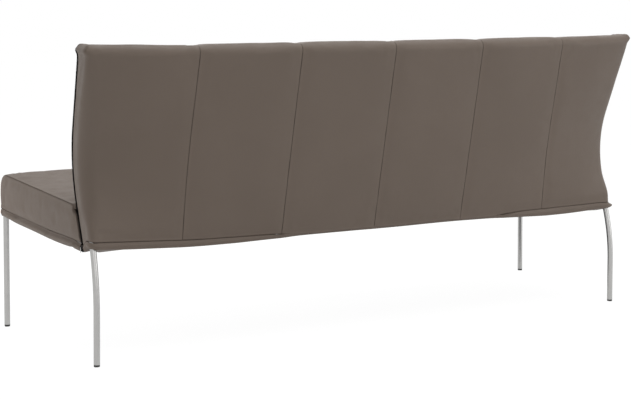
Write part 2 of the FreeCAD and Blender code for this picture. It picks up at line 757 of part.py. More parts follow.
def slider_space():
    """Space for both sliders in the band's wall."""
    half_w, half_l = SLIDER_WIDTH / 2 + CLEARANCE, SLIDER_LENGTH / 2 + CLEARANCE
    space = at_slider(box(ZIP_FACE, 2 * SLIDER_FACE, -half_w, half_w, -OVERRUN, half_l))
    return space.fuse(mirrored(space))


def make_zips():
    strip = zip_strip(ZIP_WIDTH / 2, -LEATHER, ZIP_FACE, ZIP_END_HEIGHT - SLIDER_LENGTH, ZIP_TOP_HEIGHT)
    export_pair(strip, "zip")
    half_w, half_l = SLIDER_WIDTH / 2, SLIDER_LENGTH / 2
    body = box(ZIP_FACE + CLEARANCE, SLIDER_FACE, -half_w, half_w, -half_l, half_l)
    corners = [e for e in body.Edges if abs(e.Vertexes[0].X - e.Vertexes[1].X) > CLEARANCE]
    body = body.makeFillet(SLIDER_WIDTH / 4, corners)
    eye_half = PULL_WIDTH / 6
    ear = Part.makeCylinder(EYE_RADIUS, 2 * eye_half, V(PIN_OUT, -eye_half, 0), V(0, 1, 0))
    web = box(SLIDER_FACE - CLEARANCE, PIN_OUT, -eye_half, eye_half, -EYE_RADIUS, EYE_RADIUS)
    bore = Part.makeCylinder(PIN_RADIUS, PULL_WIDTH, V(PIN_OUT, -PULL_WIDTH / 2, 0), V(0, 1, 0))
    export_pair(at_slider(body.fuse(ear).fuse(web).cut(bore).removeSplitter()), "zip_slider")
    half_t = PULL_THICKNESS / 2
    top = EYE_RADIUS + PULL_GAP
    plate = box(PIN_OUT - half_t, PIN_OUT + half_t, -PULL_WIDTH / 2, PULL_WIDTH / 2, -PULL_LENGTH, PIN_RADIUS)
    window = box(SLIDER_FACE - top, PIN_OUT + top, -eye_half - PULL_GAP, eye_half + PULL_GAP, -top, 2 * top)
    pin_radius = PIN_RADIUS - PIN_RADIUS / 10
    pin = Part.makeCylinder(pin_radius, PULL_WIDTH, V(PIN_OUT, -PULL_WIDTH / 2, 0), V(0, 1, 0))
    export_pair(at_slider(plate.cut(window).fuse(pin).removeSplitter()), "zip_pull")


# Leather panels
def seat_stretch(index):
    stops = seat_stops()
    far = 3 * FOOT_SPACING
    return box(stops[index] + SEAM_HALF_GAP, stops[index + 1] - SEAM_HALF_GAP, -far, far, 0, HEIGHT)


def make_seat_panels(slot):
    room = in_front_of_zip(CLEARANCE).common(above_base(BAND_HEIGHT + CLEARANCE)).common(seat_plan(SKIN))
    for i in range(2 * PANELS_PER_SIDE):
        skin = seat_panel_volume(i, 0).cut(seat_panel_volume(i, LEATHER))
        skin = skin.common(room).common(seat_stretch(i)).cut(slot)
        export(skin, "seat_panel_" + str(i + 1))


def side_top_z(y):
    """Top edge of the seat's side panel: the seat's slope and then its front roll."""
    face = FRONT_FOOT_Y - FRONT_FACE_GAP
    rise = SEAT_CROWN * (1 - (side_x(y) / FRONT_FOOT_X) ** 2)
    centre_y = face + FRONT_ROLL_RADIUS
    centre_z = seat_top_z(centre_y) - FRONT_ROLL_RADIUS / math.cos(TILT)
    if y >= centre_y:
        return seat_top_z(y) + rise
    return centre_z + math.sqrt(FRONT_ROLL_RADIUS ** 2 - (centre_y - y) ** 2)


def side_section(y, puff):
    low = base_z(y) + BAND_HEIGHT + CLEARANCE
    high = side_top_z(y)
    x = side_x(y)
    mid = (low + high) / 2
    inner = x - LEATHER
    edges = [arc(V(x, y, low), V(x + puff, y, mid), V(x, y, high)), line(V(x, y, high), V(inner, y, high)),
             arc(V(inner, y, high), V(inner + puff, y, mid), V(inner, y, low)),
             line(V(inner, y, low), V(x, y, low))]
    return Part.Wire(edges)


def make_seat_sides(slot):
    face = FRONT_FOOT_Y - FRONT_FACE_GAP
    rear = zip_y(BASE_HEIGHT) + SIDE_DEPTH / 2
    station_shares = [(0.0, 0.25), (0.004, 0.3), (0.012, 0.45), (0.03, 0.7), (0.065, 0.9), (0.2, 1.0), (0.5, 1.0),
                      (0.8, 0.7), (1.0, 0.4)]
    wires = [side_section(face + along * (rear - face), puffed * SIDE_PUFF) for along, puffed in station_shares]
    panel = Part.makeLoft(wires, True, False).common(in_front_of_zip(CLEARANCE)).cut(slot)
    export_pair(panel, "seat_side_panel")


def make_back_panels(slot):
    shell = cut_legs(back_volume(0, 0).cut(back_volume(LEATHER, BAND_HEIGHT)).cut(slot), CLEARANCE / 3)
    shell = shell.common(above_base(BAND_HEIGHT + CLEARANCE))
    rear_half = shell.cut(front_cover_space(-CLEARANCE / 2))
    front_half = shell.common(front_cover_space(CLEARANCE / 2)).cut(seat_core(-CLEARANCE, SEAT_PANEL_CROWN))
    for i in range(2 * PANELS_PER_SIDE):
        space = panel_prism(i)
        export(rear_half.common(space), "rear_panel_" + str(i + 1))
        export(front_half.common(space), "backrest_panel_" + str(i + 1))


# Band and base cover
def base_outline(inset, z):
    """Plan outline of the underside; it follows the seat's sides and the rear cover's foot."""
    face = FRONT_FOOT_Y - FRONT_FACE_GAP + inset
    corner = CORNER_RADIUS
    foot = BASE_HEIGHT
    half = back_half(foot) - inset
    turn = corner * (1 - math.sqrt(0.5))
    front_x = side_x(face) - inset
    side_a = V(side_x(face + corner) - inset, face + corner, z)
    side_b = V(half, zip_y(foot), z)
    rear_corner = max(REAR_CORNER_RADIUS - inset, BAND_EDGE_RADIUS)
    shoulder_y = rear_y(half, foot) - inset
    side_c = V(half, shoulder_y - rear_corner, z)
    step = seam_spacing(foot)
    seams = [k * step for k in range(1 - PANELS_PER_SIDE, PANELS_PER_SIDE)]
    rear_turn = rear_corner * (1 - math.sqrt(0.5))
    rear_end = V(half - rear_corner, rear_y(half - rear_corner, foot) - inset, z)
    right = [(V(front_x - corner, face, z), V(front_x - turn, face + turn, z), side_a), (side_a, side_b),
             (side_b, side_c), (side_c, V(half - rear_turn, rear_end.y - rear_turn, z), rear_end)]
    stops = [half - rear_corner] + seams[::-1] + [rear_corner - half]
    rear = []
    for a, b in zip(stops, stops[1:]):
        middle = (a + b) / 2
        points = [V(x, rear_y(x, foot) - inset, z) for x in (a, middle, b)]
        points[1].y += CLEARANCE
        rear.append(points)
    left = [[V(-p.x, p.y, p.z) for p in points[::-1]] for points in right[::-1]]
    front = [(V(corner - front_x, face, z), V(front_x - corner, face, z))]
    edges = [arc(*p) if len(p) == 3 else line(*p) for p in front + right + rear + left]
    return Part.Wire(edges)


def band_block(inset, lift):
    """The band's outside with its rounded lower edge, as a solid inset and lifted by the given amounts."""
    level_shares = [(0, 0.7), (0.15, 0.3), (0.5, 0.08), (1, 0)]
    edge = BAND_EDGE_RADIUS
    levels = [(edge * high, edge * drawn_in) for high, drawn_in in level_shares] + [(BAND_HEIGHT, BAND_PROUD)]
    wires = [base_outline(drawn_in + inset, z + lift) for z, drawn_in in levels]
    return Part.makeLoft(wires, True, True)


def band_tray():
    tray = band_block(-BAND_PROUD, 0).cut(band_block(BAND_THICKNESS - BAND_PROUD, BAND_THICKNESS))
    opening = Part.Face(base_outline(BAND_FLANGE, -OVERRUN)).extrude(V(0, 0, 2 * OVERRUN))
    return tray.cut(opening)


def band_space():
    """Space that the band takes, with its clearance, out to well beyond the sofa."""
    far = 2 * FRONT_FOOT_X
    inside = band_block(BAND_THICKNESS - BAND_PROUD + CLEARANCE, BAND_THICKNESS)
    return tilted(box(-far, far, -far, far, -OVERRUN, BAND_HEIGHT + CLEARANCE).cut(inside))


def cut_legs(shape, clear):
    for leg in (front_leg_outer(TUBE_RADIUS + clear), rear_leg_outer(TUBE_RADIUS + clear)):
        shape = shape.cut(leg).cut(mirrored(leg))
    return shape


def make_band(slot):
    tray = tilted(band_tray()).cut(slot).cut(slider_space())
    tray = cut_legs(tray, CLEARANCE)
    face = FRONT_FOOT_Y - FRONT_FACE_GAP
    corner_x = side_x(face)
    reach = REAR_FOOT_Y - ZIP_KNEE_Y
    pts = [V(-corner_x - OVERRUN, face - OVERRUN, 0), V(corner_x + OVERRUN, face - OVERRUN, 0),
           V(corner_x - reach, face + reach, 0), V(reach - corner_x, face + reach, 0)]
    wedge = Part.Face(Part.makePolygon(pts + pts[:1])).extrude(V(0, 0, HEIGHT))
    wide = Part.Face(Part.makePolygon(pts + pts[:1])).makeOffset2D(CLEARANCE, 2).extrude(V(0, 0, HEIGHT))
    export(tray.common(wedge), "band_front")
    export(tray.common(behind_zip(CLEARANCE / 2)), "band_rear")
    rest = tray.cut(wide).common(in_front_of_zip(CLEARANCE / 2))
    left = [s for s in rest.Solids if s.BoundBox.XMin > 0]
    export_pair(left[0], "band_side")


def make_base_cover():
    low = BAND_THICKNESS + CLEARANCE
    face = Part.Face(base_outline(BAND_THICKNESS + BAND_EDGE_RADIUS, low))
    cover = tilted(face.extrude(V(0, 0, BASE_COVER_THICKNESS)))
    export(cut_legs(cover, CLEARANCE), "base_cover")


make_legs()
make_seat_frame()
make_back_frame()
ZIP_GROOVE = zip_slot(SKIN)
make_seat_foam(ZIP_GROOVE)
make_back_foams(ZIP_GROOVE)
make_zips()
ZIP_SLOT = zip_slot(REAR_CORNER_RADIUS)
make_seat_panels(ZIP_SLOT)
make_seat_sides(ZIP_SLOT)
make_back_panels(ZIP_SLOT)
make_band(ZIP_SLOT)
make_base_cover()
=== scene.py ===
"""Dining sofa: sewn leather covers, band, zips, lining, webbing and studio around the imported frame."""

import logging
import math
from dataclasses import dataclass, field, replace
from enum import Enum

import bpy
import numpy as np
from mathutils import Matrix, Vector


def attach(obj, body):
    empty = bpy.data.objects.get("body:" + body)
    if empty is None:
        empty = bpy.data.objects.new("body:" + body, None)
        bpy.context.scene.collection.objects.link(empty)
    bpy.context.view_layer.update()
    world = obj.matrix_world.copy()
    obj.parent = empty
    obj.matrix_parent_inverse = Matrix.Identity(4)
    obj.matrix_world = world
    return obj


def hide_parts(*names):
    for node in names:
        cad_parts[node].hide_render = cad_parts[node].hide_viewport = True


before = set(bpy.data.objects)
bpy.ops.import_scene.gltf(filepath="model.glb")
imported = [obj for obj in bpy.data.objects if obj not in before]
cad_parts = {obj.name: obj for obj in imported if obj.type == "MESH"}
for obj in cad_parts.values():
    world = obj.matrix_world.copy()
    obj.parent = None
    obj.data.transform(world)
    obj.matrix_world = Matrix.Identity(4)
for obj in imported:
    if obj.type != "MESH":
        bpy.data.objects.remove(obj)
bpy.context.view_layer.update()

LOG = logging.getLogger("dining_sofa")

Array = np.ndarray
Obj = bpy.types.Object
Material = bpy.types.Material
Socket = bpy.types.NodeSocket
Pair = tuple[float, float]
Triple = tuple[float, float, float]


# Small mathematics
def tan_deg(angle: float) -> float:
    """Tangent of an angle in degrees."""
    return math.tan(math.radians(angle))


def smooth(t: Array) -> Array:
    """Soft step from 0 to 1 while t goes from 0 to 1."""
    t = np.clip(t, 0.0, 1.0)
    return t * t * (3.0 - 2.0 * t)


@dataclass(frozen=True)
class Fade:
    """A soft step from 0 at one place to 1 at another, in either direction."""

    start: float
    end: float

    def __call__(self, at: Array) -> Array:
        """How far the step has gone at a place."""
        return smooth((at - self.start) / (self.end - self.start))


@dataclass(frozen=True)
class Bell:
    """A hump of height 1 round a middle."""

    middle: float
    width: float

    def __call__(self, at: Array) -> Array:
        """Height of the hump at a place."""
        return np.exp(-((at - self.middle) / self.width) ** 2)


def stacked(*parts: Array) -> Array:
    """Places from their coordinates, which become the last axis."""
    return np.stack(np.broadcast_arrays(*parts), axis=-1)


def lengths(line: Array) -> Array:
    """Distance of every point from the first one, along the line."""
    return np.concatenate([[0], np.cumsum(np.linalg.norm(np.diff(line, axis=0), axis=1))])


def along_line(at: Array, known: Array, line: Array) -> Array:
    """Places on a line whose points have known distances."""
    return np.stack([np.interp(at, known, column) for column in line.T], axis=-1)


def directions(line: Array) -> Array:
    """Unit direction of a line at each of its points."""
    along = np.gradient(line, axis=0)
    return along / np.linalg.norm(along, axis=1, keepdims=True)


def read(table: tuple[Pair, ...], at: Array, reach: float = 0.0) -> Array:
    """Reads a table of places and heights, averaged over a reach to both sides.

    Args:
        table: places and heights.
        at: where it is read.
        reach: how far the average goes, 0 for none.

    Returns:
        Heights.
    """
    places, heights = np.array(table).T
    shares = (-1, -0.5, 0, 0.5, 1)
    return np.mean([np.interp(at + reach * share, places, heights) for share in shares], axis=0)


def ring(centre: Pair, radius: float, start_deg: float, end_deg: float, count: int) -> Array:
    """Points of an arc in plan."""
    angles = np.radians(np.linspace(start_deg, end_deg, count))
    return stacked(centre[0] + radius * np.cos(angles), centre[1] + radius * np.sin(angles))


# Sizes and form, the same values as in the part's source, in metres
@dataclass(frozen=True)
class SofaSizes:
    """Named sizes of the whole sofa in metres and degrees."""

    height: float = 0.897
    seat_height: float = 0.483
    base_height: float = 0.3295
    front_foot_x: float = 1.0085
    front_foot_y: float = -0.338
    rear_foot_x: float = 0.925
    leg_splay_deg: float = 1.14
    base_tilt_deg: float = 3.8
    seat_tilt_deg: float = 5.4
    back_lean_deg: float = 19.8
    back_half_bottom: float = 0.930
    back_half_top: float = 0.946
    seam_bottom: float = 0.324
    seam_top: float = 0.316
    side_depth: float = 0.078
    rear_bottom_y: float = 0.232
    rear_top_y: float = 0.359
    end_curve_power: float = 5.0
    roll_radius: float = 0.027
    corner_radius: float = 0.025
    lip_radius: float = 0.008
    lumbar_crown: float = 0.008
    top_hollow: float = 0.020
    zip_knee_y: float = 0.1803
    zip_knee_z: float = 0.362
    zip_knee_radius: float = 0.150
    zip_foot_lean_deg: float = 9.6
    zip_lumbar_z: float = 0.546
    zip_lumbar_radius: float = 0.328
    zip_top_z: float = 0.884
    zip_end_z: float = 0.324
    zip_slot: float = 0.0030
    seat_crown: float = 0.008
    seat_roll_radius: float = 0.040
    seat_face_gap: float = 0.012
    seat_face_crown: float = 0.004
    side_gap_rear: float = 0.0035
    side_gap_front: float = 0.0115
    overrun: float = 0.040


# Top line, rear edge, rear crease and side edge as the photo shows them, each a list of places and heights
TOP_LINE = ((-0.960, 0.0185), (-0.936, 0.0160), (-0.920, 0.0134), (-0.890, 0.0118), (-0.830, 0.0100),
            (-0.680, 0.0080), (-0.370, 0.0018), (-0.150, -0.0004), (0.100, -0.0040), (0.300, -0.0058),
            (0.500, -0.0085), (0.660, -0.0113), (0.830, -0.0110), (0.960, -0.0105))
REAR_LIFT = ((-0.930, 0.0118), (-0.878, 0.0082), (-0.831, 0.0047), (-0.783, 0.0014), (-0.735, -0.0008),
             (-0.662, -0.0027), (-0.589, -0.0012), (-0.524, 0.0), (-0.460, 0.0013), (-0.302, 0.0021),
             (-0.240, 0.0014), (-0.179, 0.0002), (-0.089, -0.0010), (0.058, -0.0014), (0.143, -0.0023),
             (0.308, -0.0030), (0.362, -0.0036), (0.416, -0.0049), (0.468, -0.0069), (0.546, -0.0077),
             (0.597, -0.0073), (0.648, -0.0054), (0.699, -0.0019), (0.749, 0.0014), (0.799, 0.0045),
             (0.848, 0.0082), (0.898, 0.0125), (0.930, 0.0140))
HEM_LIFT = ((-0.930, 0.0200), (-0.857, 0.0220), (-0.727, 0.0240), (-0.620, 0.0215), (-0.560, 0.0180),
            (-0.500, 0.0110), (-0.430, 0.0040), (0.270, 0.0040), (0.315, 0.0090), (0.360, 0.0120),
            (0.410, 0.0138), (0.455, 0.0164), (0.500, 0.0180), (0.545, 0.0192), (0.620, 0.0200),
            (0.930, 0.0200))
SIDE_SAG = ((-0.350, 0.0), (-0.275, -0.0020), (-0.234, -0.0030), (-0.152, -0.0044), (-0.070, -0.0064),
            (-0.020, -0.0072), (0.030, -0.0068), (0.093, -0.0055), (0.134, -0.0055), (0.175, -0.0070),
            (0.195, -0.0058))


@dataclass(frozen=True)
class RoundedPath:
    """A path in the YZ plane whose inner corners are rounded by tangent arcs."""

    corners: tuple[Pair, ...]
    radii: tuple[float, ...]

    def place(self, z: float) -> float:
        """Gives the path's y at one height.

        Args:
            z: height in metres.

        Returns:
            The y of the rounded path there.
        """
        slopes = [(b[0] - a[0]) / (b[1] - a[1]) for a, b in zip(self.corners, self.corners[1:])]
        for (y, zc), slope_in, slope_out, radius in zip(self.corners[1:], slopes, slopes[1:], self.radii):
            a, b = math.atan(slope_in), math.atan(slope_out)
            reach = radius * math.tan(abs(b - a) / 2)
            if z < zc - reach * math.cos(a):
                return y + slope_in * (z - zc)
            if z <= zc + reach * math.cos(b):
                side = math.copysign(1, b - a)
                centre_y = y - reach * math.sin(a) + side * radius * math.cos(a)
                centre_z = zc - reach * math.cos(a) - side * radius * math.sin(a)
                return centre_y - side * math.sqrt(radius ** 2 - (z - centre_z) ** 2)
        y, zc = self.corners[-2]
        return y + slopes[-1] * (z - zc)


@dataclass(frozen=True)
class Settling:
    """How the real covers leave the level form: heights and places where each change comes in."""

    edge_average: float = 0.02
    side_only: Fade = Fade(0.88, 0.92)
    side_to_rear: Fade = Fade(0.195, 0.230)
    top_line: Fade = Fade(0.62, 0.87)
    ear_left_z: float = 0.884
    ear_right_z: float = 0.888
    ear_height: float = 0.010
    ear_end: Fade = Fade(0.905, 0.940)
    ear_out_left: float = 0.0080
    ear_out_right: float = 0.0070
    ear_forward: float = 0.0030
    beside_zip: Fade = Fade(0.030, 0.0)
    pucker_depth: float = 0.0210
    pucker_over: Bell = Bell(0.005, 0.0065)
    pucker_place: Bell = Bell(0.240, 0.022)
    pucker_end: Fade = Fade(0.895, 0.917)
    side_ends_y: float = 0.19
    edge_margin: float = 0.030
    edge_width: float = 0.022
    edge_fades: Fade = Fade(0.142, 0.022)
    tip_rise: float = 0.0045
    tip_end: Fade = Fade(0.905, 0.925)
    tip_top: Fade = Fade(0.850, 0.880)


class SofaForm:
    """Surfaces of the sofa as functions of place, shared by all its covers."""

    slot_widens = Fade(0.410, 0.330)
    slot_extra = 0.0014
    lumbar_from = Fade(0.355, 0.445)
    lumbar_to = Fade(0.800, 0.620)
    lumbar_softer = 0.015
    top_tightens = Fade(0.74, 0.86)
    top_tighter = 0.013

    def __init__(self, sizes: SofaSizes, settling: Settling) -> None:
        """Prepares the zip's path as a table.

        Args:
            sizes: the named sizes.
            settling: how the covers leave the level form.
        """
        self.sizes = s = sizes
        self.settling = settling
        low = s.base_height - s.overrun
        high = s.height + s.overrun
        foot_y = s.zip_knee_y + (s.zip_knee_z - low) * tan_deg(s.zip_foot_lean_deg)
        lumbar_y = s.zip_knee_y - (s.zip_lumbar_z - s.zip_knee_z) * tan_deg(s.back_lean_deg)
        top_y = lumbar_y + (high - s.zip_lumbar_z) * tan_deg(s.back_lean_deg)
        path = RoundedPath(
            ((foot_y, low), (s.zip_knee_y, s.zip_knee_z), (lumbar_y, s.zip_lumbar_z), (top_y, high)),
            (s.zip_knee_radius, s.zip_lumbar_radius))
        self.table_z = np.linspace(low, high, 1300)
        self.table_y = np.array([path.place(float(z)) for z in self.table_z])
        self.roll_base = s.height - s.roll_radius
        self.face_y = s.front_foot_y - s.seat_face_gap

    def share(self, z: Array) -> Array:
        """How far up the back a height lies, 0 at its base and 1 at its top."""
        return (z - self.sizes.base_height) / (self.sizes.height - self.sizes.base_height)

    def half(self, z: Array) -> Array:
        """Half the length of the back at a height."""
        s = self.sizes
        return s.back_half_bottom + self.share(z) * (s.back_half_top - s.back_half_bottom)

    def spacing(self, z: Array) -> Array:
        """Distance between two upright seams at a height."""
        return self.sizes.seam_bottom + self.share(z) * (self.sizes.seam_top - self.sizes.seam_bottom)

    def zip_y(self, z: Array) -> Array:
        """Place of the zip on the end face at a height."""
        return np.interp(z, self.table_z, self.table_y)

    def rear_y(self, x: Array, z: Array) -> Array:
        """The back's rear surface, further back in the middle low down and at the top.

        Args:
            x: places along the length.
            z: heights.

        Returns:
            The y there.
        """
        s = self.sizes
        middle = s.rear_bottom_y + self.share(z) * (s.rear_top_y - s.rear_bottom_y)
        end = self.zip_y(z) + s.side_depth
        return middle + (end - middle) * (np.abs(x) / self.half(z)) ** s.end_curve_power

    def front_y(self, x: Array, z: Array) -> Array:
        """The back's front surface, crowned at the lumbar and hollow along its top.

        Args:
            x: places along the length.
            z: heights.

        Returns:
            The y there.
        """
        s = self.sizes
        rise = np.maximum(0.0, z - s.zip_lumbar_z) / (s.height - s.zip_lumbar_z)
        crown = s.lumbar_crown - rise * (s.lumbar_crown + s.top_hollow)
        return self.zip_y(z) - s.lip_radius - crown * (1 - (x / self.half(z)) ** 2)

    def base_z(self, y: Array) -> Array:
        """The seat's underside."""
        return self.sizes.base_height - y * tan_deg(self.sizes.base_tilt_deg)

    def zip_gap(self, z: Array) -> Array:
        """Half the width of the slot beside the zip, wider near its foot."""
        return self.sizes.zip_slot + self.slot_extra * self.slot_widens(z)

    def corner(self, z: Array) -> Array:
        """Plan radius of the rear corner, softer at the lumbar and tighter at the top."""
        soft = self.lumbar_to(z) * self.lumbar_from(z)
        return self.sizes.corner_radius + self.lumbar_softer * soft - self.top_tighter * self.top_tightens(z)

    def low_shift(self, x: Array, y: Array) -> Array:
        """How far the lower edge lies over the level line: sagging sides, rising rear corners.

        Args:
            x: places along the length.
            y: places from front to rear.

        Returns:
            Heights in metres.
        """
        rear = read(REAR_LIFT, x, self.settling.edge_average)
        side = read(SIDE_SAG, y) * self.settling.side_only(np.abs(x))
        share = self.settling.side_to_rear(y)
        return side * (1 - share) + rear * share

    def settled(self, points: Array) -> Array:
        """The same points with the photo's top line and lower edge, drawn out a little at the top corners.

        Args:
            points: places, the last axis holding x, y and z.

        Returns:
            The moved places.
        """
        s, t = self.sizes, self.settling
        x, y, z = np.moveaxis(points, -1, 0)
        left, reach = x > 0, np.abs(x)
        ear = Bell(np.where(left, t.ear_left_z, t.ear_right_z), t.ear_height)(z) * t.ear_end(reach)
        front = t.beside_zip(y - self.zip_y(z))
        height = t.top_line(z) * read(TOP_LINE, x) + t.tip_rise * front * t.tip_end(x) * t.tip_top(z)
        over = z - self.base_z(y)
        pucker = t.pucker_depth * t.pucker_over(over) * t.pucker_place(y) * t.pucker_end(-x)
        end = np.where(y > t.side_ends_y, s.back_half_bottom, self.side_x(y))
        past = np.maximum(reach - end, y - self.rear_y(x, s.base_height))
        outer = np.clip((past + t.edge_margin) / t.edge_width, 0, 1)
        low = self.low_shift(x, y) * outer * t.edge_fades(over)
        out = np.where(left, t.ear_out_left, t.ear_out_right) * ear
        return stacked(x + np.sign(x) * out - pucker, y - t.ear_forward * ear * front, z + height + low)

    def seat_top_z(self, y: Array) -> Array:
        """The seat's top over its ends."""
        s = self.sizes
        return s.seat_height - (y - s.front_foot_y - s.seat_roll_radius) * tan_deg(s.seat_tilt_deg)

    def side_x(self, y: Array) -> Array:
        """The seat's end face, which runs outwards to the front legs.

        Args:
            y: places from front to rear.

        Returns:
            The x there, on the left end.
        """
        s = self.sizes
        rear_x = s.back_half_bottom + s.side_gap_rear
        rear_y = self.zip_y(s.base_height)
        front_x = s.front_foot_x - self.base_z(s.front_foot_y) * tan_deg(s.leg_splay_deg) + s.side_gap_front
        return rear_x + (y - rear_y) * (front_x - rear_x) / (s.front_foot_y - rear_y)


FORM = SofaForm(SofaSizes(), Settling())


# Finishes
class Nodes:
    """Short hand for a material's or a world's node tree."""

    def __init__(self, tree: bpy.types.NodeTree) -> None:
        """Empties the tree.

        Args:
            tree: the node tree to fill.
        """
        self.tree = tree
        tree.nodes.clear()

    def plug(self, socket: Socket, value: object) -> None:
        """Joins another socket to an input, or stores a value in it.

        Args:
            socket: the input.
            value: the other socket, or the value.
        """
        if isinstance(value, bpy.types.NodeSocket):
            self.tree.links.new(value, socket)
        else:
            socket.default_value = value

    def set(self, node: bpy.types.Node, **values: object) -> None:
        """Sets a node's properties, or its inputs, whose names have spaces as underscores.

        Args:
            node: the node.
            values: what to set.
        """
        for name, value in values.items():
            if hasattr(node, name):
                setattr(node, name, value)
            else:
                self.plug(node.inputs[name.replace("_", " ")], value)

    def add(self, kind: str, **values: object) -> bpy.types.Node:
        """Adds a node.

        Args:
            kind: the node's type without its family name.
            values: properties and inputs to set.

        Returns:
            The new node.
        """
        node = self.tree.nodes.new("ShaderNode" + kind)
        self.set(node, **values)
        return node

    def place(self) -> Socket:
        """Object coordinates."""
        return self.add("TexCoord").outputs["Object"]

    def maths(self, operation: str, a: object, b: object = 0.0, clamp: bool = False) -> Socket:
        """Adds a Math node.

        Args:
            operation: its operation.
            a: first value or socket.
            b: second value or socket.
            clamp: whether the result stays in 0 to 1.

        Returns:
            Its output socket.
        """
        node = self.add("Math", operation=operation, use_clamp=clamp)
        for socket, value in zip(node.inputs, (a, b)):
            self.plug(socket, value)
        return node.outputs[0]

    def ramp(self, source: Socket, low: float, high: float, to_low: float = 0.0,
             to_high: float = 1.0) -> Socket:
        """Stretches a value from one span to another, kept within it.

        Args:
            source: the value's socket.
            low: start of its span.
            high: end of its span.
            to_low: what the start becomes.
            to_high: what the end becomes.

        Returns:
            The result's socket.
        """
        node = self.add("MapRange", clamp=True, Value=source, From_Min=low, From_Max=high, To_Min=to_low,
                        To_Max=to_high)
        return node.outputs["Result"]

    def blend(self, share: object, a: object, b: object) -> Socket:
        """Mixes two colours.

        Args:
            share: how much of b, a value or socket.
            a: first colour or socket.
            b: second colour or socket.

        Returns:
            The mixed colour's socket.
        """
        node = self.add("Mix", data_type="RGBA")
        for socket, value in zip([s for s in node.inputs if s.enabled], (share, a, b)):
            self.plug(socket, value)
        return [s for s in node.outputs if s.enabled][0]

    def noise(self, vector: Socket, scale: float, detail: float = 3.0, roughness: float = 0.55) -> Socket:
        """Adds a noise of a scale in cells per metre."""
        node = self.add("TexNoise", Scale=scale, Detail=detail, Roughness=roughness, Vector=vector)
        return node.outputs["Fac"]

    def edges(self, vector: Socket, scale: float, width: float) -> Socket:
        """Distance from the borders of cells, 1 beyond a width."""
        cells = self.add("TexVoronoi", feature="DISTANCE_TO_EDGE", Scale=scale, Vector=vector)
        return self.ramp(cells.outputs["Distance"], 0.0, width)

    def bump(self, height: Socket, distance: float, strength: float, **under: Socket) -> Socket:
        """Adds a bump of a depth in metres, over another bump where one is given as Normal."""
        node = self.add("Bump", Strength=strength, Distance=distance, Height=height, **under)
        return node.outputs["Normal"]


def new_finish(name: str) -> tuple[Material, Nodes, bpy.types.Node]:
    """Starts a material with an empty tree.

    Args:
        name: the material's name.

    Returns:
        The material, its nodes, and its main shader joined to the output.
    """
    material = bpy.data.materials.new(name)
    material.use_nodes = True
    nodes = Nodes(material.node_tree)
    shader = nodes.add("BsdfPrincipled")
    nodes.add("OutputMaterial", Surface=shader.outputs["BSDF"])
    return material, nodes, shader


def shade(colour: Triple, factor: float | Triple = 1.0) -> tuple[float, float, float, float]:
    """A colour made lighter or darker, with full cover."""
    return (*np.minimum(np.array(colour) * factor, 1.0).tolist(), 1.0)


@dataclass(frozen=True)
class LeatherFinish:
    """Smooth matt aniline leather with a fine pebbled grain."""

    name: str = "taupe_leather"
    colour: Triple = (0.137, 0.105, 0.083)
    lighter: float = 1.07
    darker: Triple = (0.945, 0.94, 0.93)
    worn: float = 1.42
    # colour of the painted shade and grime where the leather turns into a seam
    seam_shade_tone: float = 0.42
    roughness: float = 0.52
    specular: float = 0.38
    grain_per_metre: float = 780.0
    creases_per_metre: float = 150.0
    warp: float = 0.0011

    def make(self) -> Material:
        """Builds the material: grain, creases, rubbed ridges, and painted shade and grime at the seams.

        Returns:
            The new material.
        """
        material, nodes, shader = new_finish(self.name)
        place = nodes.place()
        # the seam number says how much painted shade and grime lies beside a seam
        seam, worn = (nodes.add("Attribute", attribute_name=name).outputs["Fac"] for name in ("seam", "wear"))
        broad, middle, mottle = (nodes.noise(place, scale, detail)
                                 for scale, detail in ((3.2, 3.0), (26.0, 4.0), (160.0, 3.0)))
        cloud = nodes.add("TexNoise", Scale=210.0, Detail=2.0, Vector=place).outputs["Color"]
        moved = nodes.add("VectorMath", operation="SCALE", Scale=self.warp, Vector=cloud).outputs[0]
        bent = nodes.add("VectorMath", operation="ADD", Vector=place)
        nodes.plug(bent.inputs[1], moved)
        pebbles = nodes.edges(bent.outputs[0], self.grain_per_metre, 0.28)
        folds = nodes.maths("MULTIPLY", nodes.edges(bent.outputs[0], self.creases_per_metre, 0.10),
                            nodes.ramp(middle, 0.42, 0.62, 0.35, 1.0))
        rubbed = nodes.maths("MULTIPLY", worn, nodes.ramp(middle, 0.35, 0.65, 0.25, 1.0))

        darker = shade(self.colour, self.darker)
        colour = nodes.blend(nodes.ramp(broad, 0.32, 0.68), darker, shade(self.colour, self.lighter))
        # the last blend paints shade and grime at the seams
        for share, tone in ((nodes.ramp(middle, 0.30, 0.70, 0.0, 0.45), shade(self.colour)),
                            (nodes.ramp(mottle, 0.35, 0.65, 0.0, 0.16), darker),
                            (nodes.ramp(pebbles, 0.0, 1.0, 0.16, 0.0), darker),
                            (nodes.maths("MULTIPLY", rubbed, 0.40), shade(self.colour, self.worn)),
                            (nodes.maths("MULTIPLY", seam, 0.80), shade(self.colour, self.seam_shade_tone))):
            colour = nodes.blend(share, colour, tone)

        rough = nodes.ramp(middle, 0.3, 0.7, self.roughness - 0.05, self.roughness + 0.05)
        rough = nodes.maths("SUBTRACT", rough, nodes.maths("MULTIPLY", rubbed, 0.07))
        rough = nodes.maths("ADD", rough, nodes.maths("MULTIPLY", seam, 0.15), clamp=True)
        fine = nodes.bump(pebbles, 0.00012, 0.55)
        soft = nodes.bump(folds, 0.00022, 0.35, Normal=fine)
        nodes.set(shader, Base_Color=colour, Roughness=rough, Specular_IOR_Level=self.specular,
                  Normal=nodes.bump(middle, 0.0016, 0.35, Normal=soft))
        return material


